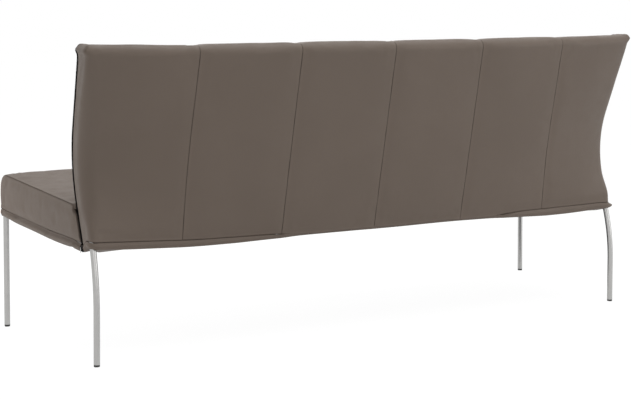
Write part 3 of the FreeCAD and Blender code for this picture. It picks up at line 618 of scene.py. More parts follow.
@dataclass(frozen=True)
class SteelFinish:
    """Brushed or coated tube and bar."""

    name: str
    colour: Triple
    metallic: float
    roughness: float
    grain: Triple = (900.0, 900.0, 9.0)
    depth: float = 0.00003

    def make(self) -> Material:
        """Builds the material: fine lines along the tube, and cloudy gloss.

        Returns:
            The new material.
        """
        material, nodes, shader = new_finish(self.name)
        place = nodes.place()
        lines = nodes.noise(nodes.add("Mapping", Scale=self.grain, Vector=place).outputs["Vector"], 1.0, 2.0)
        clouds = nodes.noise(place, 34.0, 4.0)
        low = shade(self.colour, 0.90)
        colour = nodes.blend(nodes.ramp(lines, 0.30, 0.70), low, shade(self.colour, 1.06))
        colour = nodes.blend(nodes.ramp(clouds, 0.35, 0.75, 0.0, 0.35), colour, low)
        rough = nodes.ramp(clouds, 0.30, 0.70, self.roughness - 0.05, self.roughness + 0.05)
        rough = nodes.maths("ADD", rough, nodes.ramp(lines, 0.3, 0.7, -0.03, 0.03), clamp=True)
        nodes.set(shader, Base_Color=colour, Metallic=self.metallic, Roughness=rough,
                  Normal=nodes.bump(lines, self.depth, 0.5))
        return material


@dataclass(frozen=True)
class PlasticFinish:
    """Moulded or woven dark plastic with a fine surface."""

    name: str
    colour: Triple
    roughness: float
    texture_per_metre: float
    depth: float
    specular: float = 0.5

    def make(self) -> Material:
        """Builds the material: spark texture, scuffs and slight colour drift.

        Returns:
            The new material.
        """
        material, nodes, shader = new_finish(self.name)
        place = nodes.place()
        scuffs = nodes.noise(place, 90.0, 5.0, 0.7)
        drift = nodes.ramp(scuffs, 0.35, 0.70)
        colour = nodes.blend(drift, shade(self.colour, 0.80), shade(self.colour, 1.25))
        rough = nodes.ramp(scuffs, 0.35, 0.70, self.roughness - 0.06, self.roughness + 0.08)
        spark = nodes.noise(place, self.texture_per_metre, 2.0)
        nodes.set(shader, Base_Color=colour, Roughness=rough, Specular_IOR_Level=self.specular,
                  Normal=nodes.bump(spark, self.depth, 0.6))
        return material


@dataclass(frozen=True)
class WeaveFinish:
    """Plain woven cloth or strap, with threads along two axes."""

    name: str
    colour: Triple
    threads_per_metre: float
    axes: tuple[int, int]
    depth: float
    roughness: float = 0.88
    specular: float = 0.4

    def make(self) -> Material:
        """Builds the material: crossing threads, slubs, and painted shade in the gaps with painted light on
        the thread tops.

        Returns:
            The new material.
        """
        material, nodes, shader = new_finish(self.name)
        place = nodes.place()
        parts = nodes.add("SeparateXYZ", Vector=place).outputs
        waves = [nodes.maths("SINE", nodes.maths("MULTIPLY", parts[axis], math.pi * self.threads_per_metre))
                 for axis in self.axes]
        cross = nodes.maths("MULTIPLY", *waves)
        over, under = (nodes.maths("MULTIPLY", nodes.maths("ABSOLUTE", wave),
                                   nodes.ramp(cross, -0.3, 0.3, *shares))
                       for wave, shares in zip(waves, ((0.2, 1.0), (1.0, 0.2))))
        height = nodes.maths("MAXIMUM", over, under)
        slubs = nodes.noise(place, 60.0, 4.0)
        # painted shade in the gaps between threads and painted light on their tops
        thread_gap_shade = nodes.ramp(height, 0.15, 0.85)
        colour = nodes.blend(thread_gap_shade, shade(self.colour, 0.55), shade(self.colour, 1.15))
        colour = nodes.blend(nodes.ramp(slubs, 0.40, 0.72, 0.0, 0.35), colour, shade(self.colour))
        nodes.set(shader, Base_Color=colour, Specular_IOR_Level=self.specular,
                  Roughness=nodes.ramp(slubs, 0.3, 0.7, self.roughness - 0.05, self.roughness + 0.05),
                  Normal=nodes.bump(height, self.depth, 0.8))
        return material


class FinishBook:
    """All finishes of the sofa, made once."""

    def __init__(self) -> None:
        """Makes every material."""
        self.leather = LeatherFinish().make()
        self.steel = SteelFinish("satin_steel", (0.440, 0.436, 0.428), metallic=1.0, roughness=0.34).make()
        self.frame = SteelFinish("grey_coated_steel", (0.16, 0.165, 0.17), metallic=0.25, roughness=0.48,
                                 grain=(400.0, 400.0, 400.0), depth=0.00006).make()
        self.zip_metal = SteelFinish("nickel_plate", (0.52, 0.51, 0.50), metallic=1.0, roughness=0.28,
                                     grain=(1500.0, 1500.0, 300.0), depth=0.00002).make()
        self.glide = PlasticFinish("glide_plastic", (0.035, 0.034, 0.033), roughness=0.55,
                                   texture_per_metre=2600.0, depth=0.00005).make()
        self.coil = PlasticFinish("zip_coil", (0.008, 0.007, 0.007), roughness=0.80,
                                  texture_per_metre=3000.0, depth=0.00002, specular=0.05).make()
        self.tape = WeaveFinish("zip_tape", (0.012, 0.011, 0.011), threads_per_metre=1800.0, axes=(1, 2),
                                depth=0.00010, specular=0.1).make()
        self.lining = WeaveFinish("black_lining", (0.030, 0.030, 0.032), threads_per_metre=900.0,
                                  axes=(0, 1), depth=0.00022).make()
        self.strap = WeaveFinish("strap_weave", (0.42, 0.40, 0.36), threads_per_metre=520.0,
                                 axes=(0, 1), depth=0.00030).make()


# Modelling help
def wear(obj: Obj, material: Material) -> None:
    """Gives an object one material and nothing else."""
    obj.data.materials.clear()
    obj.data.materials.append(material)


def declare(obj: Obj, slot: str, *nodes: str) -> None:
    """Hangs a piece on the sofa's body and hides the frame's nodes that it stands for.

    Args:
        obj: the piece.
        slot: its material slot, not used.
        nodes: the frame's nodes.
    """
    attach(obj, "sofa")
    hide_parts(*nodes)


def pick(*objects: Obj) -> None:
    """Selects these objects alone and makes the first one active.

    Args:
        objects: what to select, or nothing.
    """
    bpy.ops.object.select_all(action="DESELECT")
    for obj in objects:
        obj.select_set(True)
    if objects:
        bpy.context.view_layer.objects.active = objects[0]


def edit_mesh(obj: Obj, operator: str, **values: object) -> None:
    """Runs one mesh operator on all of an object's mesh.

    Args:
        obj: the object.
        operator: the operator's name.
        values: its settings.
    """
    pick(obj)
    bpy.ops.object.mode_set(mode="EDIT")
    bpy.ops.mesh.select_all(action="SELECT")
    getattr(bpy.ops.mesh, operator)(**values)
    bpy.ops.object.mode_set(mode="OBJECT")


def apply_modifier(obj: Obj, kind: str, **values: object) -> None:
    """Adds a modifier, sets it and applies it.

    Args:
        obj: the object.
        kind: the modifier's type.
        values: its properties.
    """
    pick(obj)
    modifier = obj.modifiers.new(kind.lower(), kind)
    for name, value in values.items():
        setattr(modifier, name, value)
    bpy.ops.object.modifier_apply(modifier=modifier.name)


def smooth_shading(obj: Obj, angle_deg: float) -> None:
    """Shades an object smoothly up to an angle between its faces."""
    pick(obj)
    bpy.ops.object.shade_smooth_by_angle(angle=math.radians(angle_deg))


def set_points(mesh: bpy.types.Mesh, points: Array) -> None:
    """Moves a mesh's points to these places."""
    mesh.vertices.foreach_set("co", points.astype(np.float32).reshape(-1))
    mesh.update()


def grid_piece(name: str, points: Array) -> Obj:
    """A grid primitive whose points are set to a surface.

    Args:
        name: the piece's name.
        points: rows by columns by 3 places.

    Returns:
        The new object, with its place in its mesh.
    """
    rows, columns = points.shape[:2]
    pick()
    bpy.ops.mesh.primitive_grid_add(x_subdivisions=columns - 1, y_subdivisions=rows - 1, size=1.0)
    obj = bpy.context.object
    obj.name = obj.data.name = name
    if len(obj.data.vertices) != rows * columns:
        raise ValueError(name + ": the grid has another number of points")
    set_points(obj.data, points)
    return obj


def set_attribute(obj: Obj, name: str, values: Array) -> None:
    """Stores one number per point, read by the finishes."""
    attribute = obj.data.attributes.new(name, "FLOAT", "POINT")
    attribute.data.foreach_set("value", values.astype(np.float32).reshape(-1))


SEAM_STOPS = np.array([0.0, 0.0006, 0.0014, 0.0026, 0.0044, 0.0070, 0.0110])


def stops(length: float, pitch: float, fine_start: bool = True, fine_end: bool = True) -> Array:
    """Stations along a length, close together beside a seam.

    Args:
        length: the whole length in metres.
        pitch: the usual distance between two stations.
        fine_start: whether the start is a seam.
        fine_end: whether the end is a seam.

    Returns:
        Shares from 0 to 1.
    """
    start = SEAM_STOPS if fine_start else SEAM_STOPS[:1]
    end = length - (SEAM_STOPS if fine_end else SEAM_STOPS[:1])[::-1]
    count = max(2, int(round((end[0] - start[-1]) / pitch)))
    inner = np.linspace(start[-1], end[0], count + 1)[1:-1]
    return np.concatenate([start, inner, end]) / length


# Leather panels
@dataclass(frozen=True)
class JoinShape:
    """How the leather bends at an edge, and how much painted shade and grime darken it there, in metres and
    shares.
    """

    radius: float = 0.0
    turn_in: float = 0.0
    valley: float = 0.0
    valley_width: float = 0.010
    ripple: float = 0.0
    # dark and the width after it: strength and reach of the painted shade and grime at this edge
    dark: float = 0.0
    seam_shade_width: float = 0.0013
    rub: float = 0.8


class Join(Enum):
    """What happens at one edge of a leather panel."""

    SEAM = JoinShape(radius=0.0013, turn_in=0.0050, valley=0.0008, valley_width=0.012, ripple=1.0, dark=0.9,
                     rub=0.5)
    HEM = JoinShape(radius=0.0021, turn_in=0.0045, ripple=0.6, dark=0.95, seam_shade_width=0.0019)
    ZIP = JoinShape(radius=0.0011, turn_in=0.0040, valley=0.0020, valley_width=0.012, ripple=0.5, dark=0.6)
    BUTT = JoinShape(radius=0.0012, turn_in=0.0016, dark=0.8)
    TUCK = JoinShape()


@dataclass
class LeatherPanel:
    """One cut piece of leather, drawn over the foam between its seams."""

    name: str
    nodes: tuple[str, ...]
    surface: Array
    joins: tuple[Join, Join, Join, Join]
    puff: float
    seed: int
    fill: float
    sim_cap: float = 0.0015
    flip: bool = False
    distances: list[Array] | None = None
    rest: Array | None = field(default=None, repr=False)

    gathers = ((0.029, 0.00013), (0.047, 0.00020), (0.083, 0.00034), (0.151, 0.00046))
    waves = ((0.13, 0.00030), (0.21, 0.00050), (0.34, 0.00060))
    rubbed_ridge = Bell(0.0045, 0.0035)
    waves_begin = Fade(0.0, 0.05)

    def edge_distances(self) -> list[Array]:
        """Distance of every point from the first and last column, and the first and last row.

        Returns:
            Four grids of distances.
        """
        if self.distances is not None:
            return self.distances
        across = np.linalg.norm(np.diff(self.surface, axis=1), axis=2)
        up = np.linalg.norm(np.diff(self.surface, axis=0), axis=2)
        s = np.pad(np.cumsum(across, axis=1), ((0, 0), (1, 0)))
        t = np.pad(np.cumsum(up, axis=0), ((1, 0), (0, 0)))
        return [s, s[:, -1:] - s, t, t[-1:, :] - t]

    def normals(self) -> Array:
        """Outward direction at each point of the surface."""
        normal = np.cross(np.gradient(self.surface, axis=1), np.gradient(self.surface, axis=0))
        return normal / np.maximum(np.linalg.norm(normal, axis=2, keepdims=True), 1e-12)

    def ripples(self, along: Array, away: Array, seed: int) -> Array:
        """Small gathers that run from a seam into the leather.

        Args:
            along: distance along the seam.
            away: distance from the seam.
            seed: which pattern.

        Returns:
            Heights in metres.
        """
        rng = np.random.default_rng(seed)
        total = np.zeros_like(along)
        for length, size in self.gathers:
            phase = rng.uniform(0, 2 * math.pi)
            lean = rng.uniform(-0.9, 0.9)
            swell = 0.55 + 0.45 * np.sin(2 * math.pi * along / rng.uniform(0.24, 0.41) + rng.uniform(0, 6.28))
            wave = np.sin(2 * math.pi * (along + lean * away) / length + phase)
            total += size * swell * wave * np.exp(-away / (0.75 * length))
        return total

    def shaped(self) -> tuple[Array, Array, Array, Array]:
        """The panel's points with seams, puff and gathers.

        Returns:
            Points, seam share of painted shade and grime, wear share and distance to the nearest edge.
        """
        distances = first, last, low, high = self.edge_distances()
        inward = np.minimum.reduce(distances)
        u = first / np.maximum(first + last, 1e-9)
        v = low / np.maximum(low + high, 1e-9)
        lift = self.puff * (1 - (2 * u - 1) ** 2) * (1 - (2 * v - 1) ** 6)
        rng = np.random.default_rng(self.seed)
        for length, size in self.waves:
            turn = rng.uniform(0, math.pi)
            flow = (np.cos(turn) * first + np.sin(turn) * low) / length
            lift += size * np.sin(2 * math.pi * flow + rng.uniform(0, 6.28)) * self.waves_begin(inward)
        depth, seam, rubbed = np.zeros((3, *lift.shape))
        nearest = np.full(lift.shape, np.inf)
        for index, (away, join) in enumerate(zip(distances, self.joins)):
            shape = join.value
            nearest = np.minimum(nearest, away if shape.radius else away + 1)
            if not shape.radius:
                continue
            inside = np.clip(shape.radius - away, 0, shape.radius)
            depth = np.maximum(depth, shape.radius - np.sqrt(np.maximum(shape.radius ** 2 - inside ** 2, 0)))
            lift -= shape.valley * np.exp(-away / shape.valley_width)
            lift += shape.ripple * self.ripples(low if index < 2 else first, away, self.seed * 7 + index)
            # seam share: painted shade and grime, strongest where the leather turns in
            seam = np.maximum(seam, shape.dark * np.exp(-(away / shape.seam_shade_width) ** 1.2))
            rubbed = np.maximum(rubbed, shape.rub * self.rubbed_ridge(away))
        points = self.surface + self.normals() * (lift - depth)[..., None]
        return points, seam, rubbed, nearest

    def with_turned_edges(self, grid: Array) -> Array:
        """Adds a ring of leather turned inwards at each sewn edge.

        Args:
            grid: the panel's points, each with more numbers behind its place.

        Returns:
            The larger grid.
        """
        normal = self.normals()
        for join, axis, at in zip(self.joins, (1, 1, 0, 0), (0, -1, 0, -1)):
            if not join.value.radius:
                continue
            edge, outward = np.take(grid, [at], axis), np.take(normal, [at], axis)
            edge[..., :3] -= outward * join.value.turn_in
            grid = np.concatenate((edge, grid) if at == 0 else (grid, edge), axis)
            normal = np.concatenate((outward, normal) if at == 0 else (normal, outward), axis)
        return grid

    def build(self) -> Obj:
        """Makes the panel's mesh with its seam, wear and pin numbers.

        Returns:
            The new object.
        """
        grid = self.with_turned_edges(np.dstack(self.shaped()))
        if self.flip:
            grid = grid[:, ::-1] * np.array([-1.0, 1.0, 1.0, 1.0, 1.0, 1.0])
        points = FORM.settled(grid[..., :3])
        obj = grid_piece(self.name, points)
        for index, name in enumerate(("seam", "wear", "edge")):
            set_attribute(obj, name, grid[..., 3 + index])
        self.rest = points.reshape(-1, 3)
        return obj

    def mirrored(self, name: str, seed: int) -> "LeatherPanel":
        """The same panel for the other half, with gathers of its own.

        Args:
            name: the other panel's name.
            seed: its pattern.

        Returns:
            The panel for the right half.
        """
        return replace(self, name=name, nodes=(name, *self.nodes[1:]), seed=seed, flip=True)


class LeatherStretcher:
    """Runs one cloth simulation for all panels together and keeps its result."""

    frames = 14
    pin_levels = 20
    freed = Fade(0.006, 0.030)
    cloth = {"quality": 5, "mass": 0.4, "air_damping": 4, "tension_stiffness": 30,
             "compression_stiffness": 30, "shear_stiffness": 15, "bending_stiffness": 4,
             "use_pressure": True, "uniform_pressure_force": 4.0, "vertex_group_mass": "pin",
             "shrink_min": -0.004}

    def __init__(self) -> None:
        """Starts without panels."""
        self.panels: list[tuple[LeatherPanel, Obj]] = []

    def add(self, panel: LeatherPanel, obj: Obj) -> None:
        """Gives a panel its cloth modifier, pinned along its seams.

        Args:
            panel: the panel.
            obj: its object.
        """
        edge = np.zeros(len(obj.data.vertices), np.float32)
        obj.data.attributes["edge"].data.foreach_get("value", edge)
        level_of = np.round((1 - self.freed(edge)) * self.pin_levels)
        group = obj.vertex_groups.new(name="pin")
        for level in range(1, self.pin_levels + 1):
            chosen = np.nonzero(level_of == level)[0]
            if len(chosen):
                group.add(chosen.tolist(), level / self.pin_levels, "REPLACE")
        modifier = obj.modifiers.new("cloth", "CLOTH")
        for name, value in self.cloth.items():
            setattr(modifier.settings, name, value)
        modifier.settings.effector_weights.gravity = 0
        modifier.collision_settings.use_collision = False
        modifier.collision_settings.use_self_collision = False
        modifier.point_cache.frame_start = 1
        modifier.point_cache.frame_end = self.frames + 1
        self.panels.append((panel, obj))

    def run(self) -> None:
        """Steps the frames, caps how far a point moved and applies the result."""
        if not self.panels:
            return
        scene = bpy.context.scene
        for number in range(1, self.frames + 1):
            scene.frame_set(number)
        graph = bpy.context.evaluated_depsgraph_get()
        for panel, obj in self.panels:
            moved = np.zeros(len(obj.data.vertices) * 3, np.float32)
            shown = obj.evaluated_get(graph)
            shown.to_mesh().vertices.foreach_get("co", moved)
            shown.to_mesh_clear()
            step = moved.reshape(-1, 3) - panel.rest
            length = np.linalg.norm(step, axis=1, keepdims=True)
            step *= np.tanh(length / panel.sim_cap) * panel.sim_cap / np.maximum(length, 1e-9)
            obj.modifiers.clear()
            obj.vertex_groups.clear()
            set_points(obj.data, panel.rest + step)
            LOG.info("%s moved %.1f mm at most", obj.name, float(length.max()) * 1000)
        scene.frame_set(1)


class LeatherWorks:
    thickness = 0.0012

    def __init__(self, book: FinishBook) -> None:
        """Keeps the finishes.

        Args:
            book: the finishes.
        """
        self.book = book
        self.stretcher = LeatherStretcher()
        self.made: list[tuple[LeatherPanel, Obj]] = []

    def cut(self, panel: LeatherPanel) -> Obj:
        """Makes one panel and readies it for the simulation.

        Args:
            panel: what to make.

        Returns:
            Its object.
        """
        obj = panel.build()
        wear(obj, self.book.leather)
        self.made.append((panel, obj))
        self.stretcher.add(panel, obj)
        return obj

    def finish(self) -> None:
        """Runs the simulation, then thickens, shades and declares each panel."""
        self.stretcher.run()
        for panel, obj in self.made:
            apply_modifier(obj, "SOLIDIFY", thickness=self.thickness, offset=-1.0, use_even_offset=False)
            obj.data.attributes.remove(obj.data.attributes["edge"])
            smooth_shading(obj, 60)
            declare(obj, "cover_leather", *panel.nodes)
            LOG.info("%s: %d faces", obj.name, len(obj.data.polygons))


# The back's two covers
PITCH = 0.0085
MIRROR = np.array([-1.0, 1.0])
CUBIC_QUARTER = 0.5523


@dataclass
class BackCovers:
    """Rear and front leather covers of the back, six panels each."""

    form: SofaForm
    works: LeatherWorks
    roll_steps: int = 9
    top_steps: int = 9
    top_span: float = 0.085
    hem_average: float = 0.016
    hem_end_lift: float = 0.0200
    hem_end_x: float = 0.9
    hem_calm: Fade = Fade(0.014, 0.004)
    hem_waves: tuple[Triple, ...] = ((0.0010, 21.0, 0.7), (0.0008, 47.0, 2.1))
    hem_guess: float = 0.01
    ear: float = 0.0030
    ear_reach: float = 0.011
    ear_width: float = 0.016
    end_roll: float = 0.0065
    end_roll_begins: Fade = Fade(-0.050, -0.005)
    lean_depth: float = 0.1
    top_end_inset: float = 0.010
    end_length: float = 0.37
    corner_start: float = 0.074
    corner_pitch: float = 0.0038
    corner_stations: int = 11
    corner_clear: float = 0.008
    corner_y: float = 0.25
    front_length: float = 0.318
    front_low: float = 0.400
    lip_pitch: float = 0.0021
    lip_share: float = 0.72
    front_top_shares: tuple[float, ...] = (0.10, 0.22, 0.36, 0.50, 0.64, 0.76, 0.86, 0.93, 0.97, 1.0)

    def hem_lift(self, x: Array) -> Array:
        """Height of the rear cover's lower edge over the base, lower in the middle and a little wavy.

        Args:
            x: places along the length.

        Returns:
            Heights over the base.
        """
        low = read(HEM_LIFT, x, self.hem_average)
        wave = sum(size * np.sin(x * rate + start) for size, rate, start in self.hem_waves)
        return np.where(np.abs(x) > self.hem_end_x, self.hem_end_lift, low + wave * self.hem_calm(low))

    def outline_end(self, shares: Array, heights: Array) -> Array:
        """Plan outline of the left end, from the zip round the corner to the last seam.

        Args:
            shares: shares along the outline's flat length, 0 at the zip and 1 at the seam.
            heights: heights, one per row.

        Returns:
            Rows by columns by 2 plan points.
        """
        form = self.form
        t = np.linspace(0, 1, 25)[:, None]
        rows = []
        for z in heights:
            half, c = form.half(z), form.corner(z)
            xs = np.linspace(half - c, 2 * form.spacing(z), 60)
            ys = form.rear_y(xs, z)
            slope = (ys[1] - ys[0]) / (xs[1] - xs[0])
            start = np.array([half, form.rear_y(half, z) - c])
            end = np.array([half - c, ys[0]])
            hold_a = start + np.array([0.0, CUBIC_QUARTER * c])
            hold_b = end + CUBIC_QUARTER * c * np.array([1.0, slope])
            arc = ((1 - t) ** 3 * start + 3 * (1 - t) ** 2 * t * hold_a
                   + 3 * (1 - t) * t ** 2 * hold_b + t ** 3 * end)
            side = stacked(half, np.linspace(form.zip_y(z) + form.zip_gap(z), start[1], 12))
            line = np.concatenate([side[:-1], arc[:-1], stacked(xs, ys)])
            known = lengths(line)
            rows.append(along_line(shares * known[-1], known, line))
        return np.stack(rows)

    def top_shares(self) -> Array:
        """Shares across the top, close together over the roll and beside the top seam.

        Returns:
            Shares from above 0 to 1.
        """
        angles = np.radians(np.linspace(0, 90, self.roll_steps + 1))
        roll = self.form.sizes.roll_radius * (1 - np.cos(angles))
        near = self.top_span - SEAM_STOPS[::-1]
        inner = np.linspace(roll[-1], near[0], self.top_steps - 2)[1:-1]
        return np.concatenate([roll, inner, near])[1:] / self.top_span

    def roll_height(self, plan: Array) -> Array:
        """Height of the top over the roll's start, from the distance to the plan outline.

        Args:
            plan: plan points.

        Returns:
            Heights, 0 at the outline.
        """
        form, zb, r = self.form, self.form.roll_base, self.form.sizes.roll_radius
        x, y = np.abs(plan[..., 0]), plan[..., 1]
        half, c = form.half(zb), form.corner(zb)
        inside = np.minimum(x, half)
        sharper = r / self.end_roll
        rear = form.rear_y(inside, zb) - y
        side = (half - x) * sharper
        front = (y - form.front_y(inside, zb)) * (1 + (sharper - 1) * self.end_roll_begins(x - half))
        round_corner = c - np.hypot(c - np.minimum(rear, c), c - np.minimum(side, c))
        edge = np.where((rear < c) & (side < c), round_corner, np.minimum(rear, side))
        edge = np.clip(np.minimum(edge, front), 0, r)
        return np.sqrt(np.maximum(r ** 2 - (r - edge) ** 2, 0))

    def with_top(self, body: Array, x_top: Array, shares: Array) -> Array:
        """Adds the patch over the top, straight in plan from the body's last row to the top seam.

        Args:
            body: rows by columns by 3 points up to the roll.
            x_top: x of the top seam for each column.
            shares: shares from the roll's start to the seam.

        Returns:
            The whole surface.
        """
        form, s, zb = self.form, self.form.sizes, self.form.roll_base
        start = body[-1, :, :2]
        seam = stacked(x_top, form.front_y(x_top, zb) + s.lip_radius)
        plan = start + (seam - start) * shares[:, None, None]
        x, y = plan[..., 0], plan[..., 1]
        half, rise = form.half(zb), self.roll_height(plan)
        ear = self.ear * np.exp(-np.maximum(half - np.abs(x) - self.ear_reach, 0) / self.ear_width)
        lean_front = tan_deg(s.back_lean_deg)
        lean_rear = (s.rear_top_y - s.rear_bottom_y) / (s.height - s.base_height)
        rear_lean = lean_rear + (lean_front - lean_rear) * (np.abs(x) / half) ** s.end_curve_power
        depth = np.clip((y - form.front_y(np.clip(x, -half, half), zb)) / self.lean_depth, 0, 1)
        lean = lean_front + (rear_lean - lean_front) * depth
        height = zb + rise + ear * smooth(rise / s.roll_radius)
        return np.concatenate([body, stacked(x, y + rise * lean, height)])

    def top_end(self, share: Array) -> Array:
        """Places of the top seam on an end panel, from the last upright seam to the end."""
        seam_x = 2 * self.form.spacing(self.form.sizes.height)
        return seam_x + (self.form.half(self.form.roll_base) - self.top_end_inset - seam_x) * share

    def narrowed(self, x: Array) -> Array:
        """Places of the top seam over a row at the roll's start."""
        return x * (self.form.spacing(self.form.sizes.height) / self.form.spacing(self.form.roll_base))

    def rear_middle(self, index: int, side: int) -> LeatherPanel:
        """A rear panel between two seams.

        Args:
            index: 0 or 1, counted from the middle seam outwards.
            side: its half, 1 or -1.

        Returns:
            The panel, drawn on the left half.
        """
        form = self.form
        cols = index + (1 - stops(form.sizes.seam_bottom, PITCH))
        low = form.base_z(form.sizes.rear_bottom_y) + self.hem_guess
        x_low = cols * form.spacing(low)
        z0 = form.base_z(form.rear_y(x_low, low)) + self.hem_lift(side * x_low)
        z = z0 + (form.roll_base - z0) * stops(form.roll_base - low, PITCH, True, False)[:, None]
        x = cols * form.spacing(z)
        surface = self.with_top(stacked(x, form.rear_y(x, z), z), self.narrowed(x[-1]), self.top_shares())
        name = "rear_panel_" + str(4 + index)
        return LeatherPanel(name, (name, "back_rear_foam"), surface,
                            (Join.SEAM, Join.SEAM, Join.HEM, Join.SEAM),
                            puff=0.0034, seed=40 + index, fill=0.9)

    def rear_end(self, side: int) -> LeatherPanel:
        """The end panel of one half, which turns round the corner to the zip.

        Args:
            side: its half, 1 or -1.

        Returns:
            The panel, drawn on the left half.
        """
        form = self.form
        cols = stops(self.end_length, PITCH)
        corner = (self.corner_start + np.arange(self.corner_stations) * self.corner_pitch) / self.end_length
        away = (cols < corner[0] - self.corner_clear) | (cols > corner[-1] + self.corner_clear)
        cols = np.unique(np.concatenate([cols[away], corner]))
        low = form.base_z(self.corner_y) + self.hem_end_lift
        guide = self.outline_end(cols, np.array([low]))[0]
        z0 = form.base_z(guide[:, 1]) + self.hem_lift(side * guide[:, 0])
        table = np.linspace(z0.min(), form.roll_base, 120)
        lines = self.outline_end(cols, table)
        z = z0 + (form.roll_base - z0) * stops(form.roll_base - low, PITCH, True, False)[:, None]
        plan = np.stack([along_line(z[:, j], table, lines[:, j]) for j in range(len(cols))], axis=1)
        surface = self.with_top(np.dstack([plan, z]), self.top_end(1 - cols), self.top_shares())
        return LeatherPanel("rear_panel_6", ("rear_panel_6", "back_rear_foam"), surface,
                            (Join.ZIP, Join.SEAM, Join.HEM, Join.SEAM), puff=0.0022, seed=46, fill=0.9)

    def front_plan(self, index: int, cols: Array, z: Array) -> tuple[Array, Array]:
        """Plan place of each column of a front panel at each height, round the lip on the end panel.

        Args:
            index: the panel, 0 to 2 from the middle seam outwards.
            cols: shares across it.
            z: heights, one row each.

        Returns:
            The x and the y.
        """
        form, r, step = self.form, self.form.sizes.lip_radius, self.form.spacing(z)
        if index < 2:
            x = (index + cols) * step
            return x, form.front_y(x, z)
        half, start = form.half(z), 2 * step
        edge_y = form.front_y(half, z)
        flat = half - r - start
        tail = np.maximum(form.zip_y(z) - form.zip_gap(z) - edge_y - r, 0.0)
        run = cols * (flat + r * math.pi / 2 * self.lip_share + tail)
        turn = np.clip((run - flat) / r, 0, math.pi / 2)
        x = np.where(run < flat, start + run, half - r + r * np.sin(turn))
        y = np.where(run < flat, form.front_y(np.minimum(x, half), z), edge_y + r * (1 - np.cos(turn)))
        return x, y

    def front_panel(self, index: int) -> LeatherPanel:
        """A front panel of the left half.

        Args:
            index: 0 to 2, counted from the middle seam outwards; 2 reaches the zip.

        Returns:
            The panel.
        """
        form, length = self.form, self.front_length
        last = index == 2
        cols = stops(form.sizes.seam_bottom, PITCH)
        if last:
            cols = stops(length, PITCH, True, False)
            lip = length - np.append(np.arange(6, 0, -1) * self.lip_pitch, (0.0006, 0.0))
            cols = np.concatenate([cols[cols < (length - 0.020) / length], lip / length])
        rows = stops(form.roll_base - self.front_low, PITCH, False, False)
        z = (self.front_low + (form.roll_base - self.front_low) * rows)[:, None]
        x, y = self.front_plan(index, cols, z)
        end = x[-1]
        x_top = self.top_end((end - end[0]) / (end[-1] - end[0])) if last else self.narrowed(end)
        surface = self.with_top(stacked(x, y, z), x_top, np.array(self.front_top_shares))
        name = "backrest_panel_" + str(4 + index)
        return LeatherPanel(name, (name, "back_front_foam"), surface,
                            (Join.SEAM, Join.ZIP if last else Join.SEAM, Join.TUCK, Join.SEAM),
                            puff=0.0048, seed=60 + index, fill=0.9)

    def build(self) -> None:
        """Cuts all twelve panels."""
        left, right = ([self.rear_middle(0, side), self.rear_middle(1, side), self.rear_end(side)]
                       for side in (1, -1))
        for i in range(3):
            self.works.cut(left[i])
            self.works.cut(right[i].mirrored("rear_panel_" + str(3 - i), 80 + i))
        for i in range(3):
            panel = self.front_panel(i)
            self.works.cut(panel)
            self.works.cut(panel.mirrored("backrest_panel_" + str(3 - i), 90 + i))
        LOG.info("back covers cut")


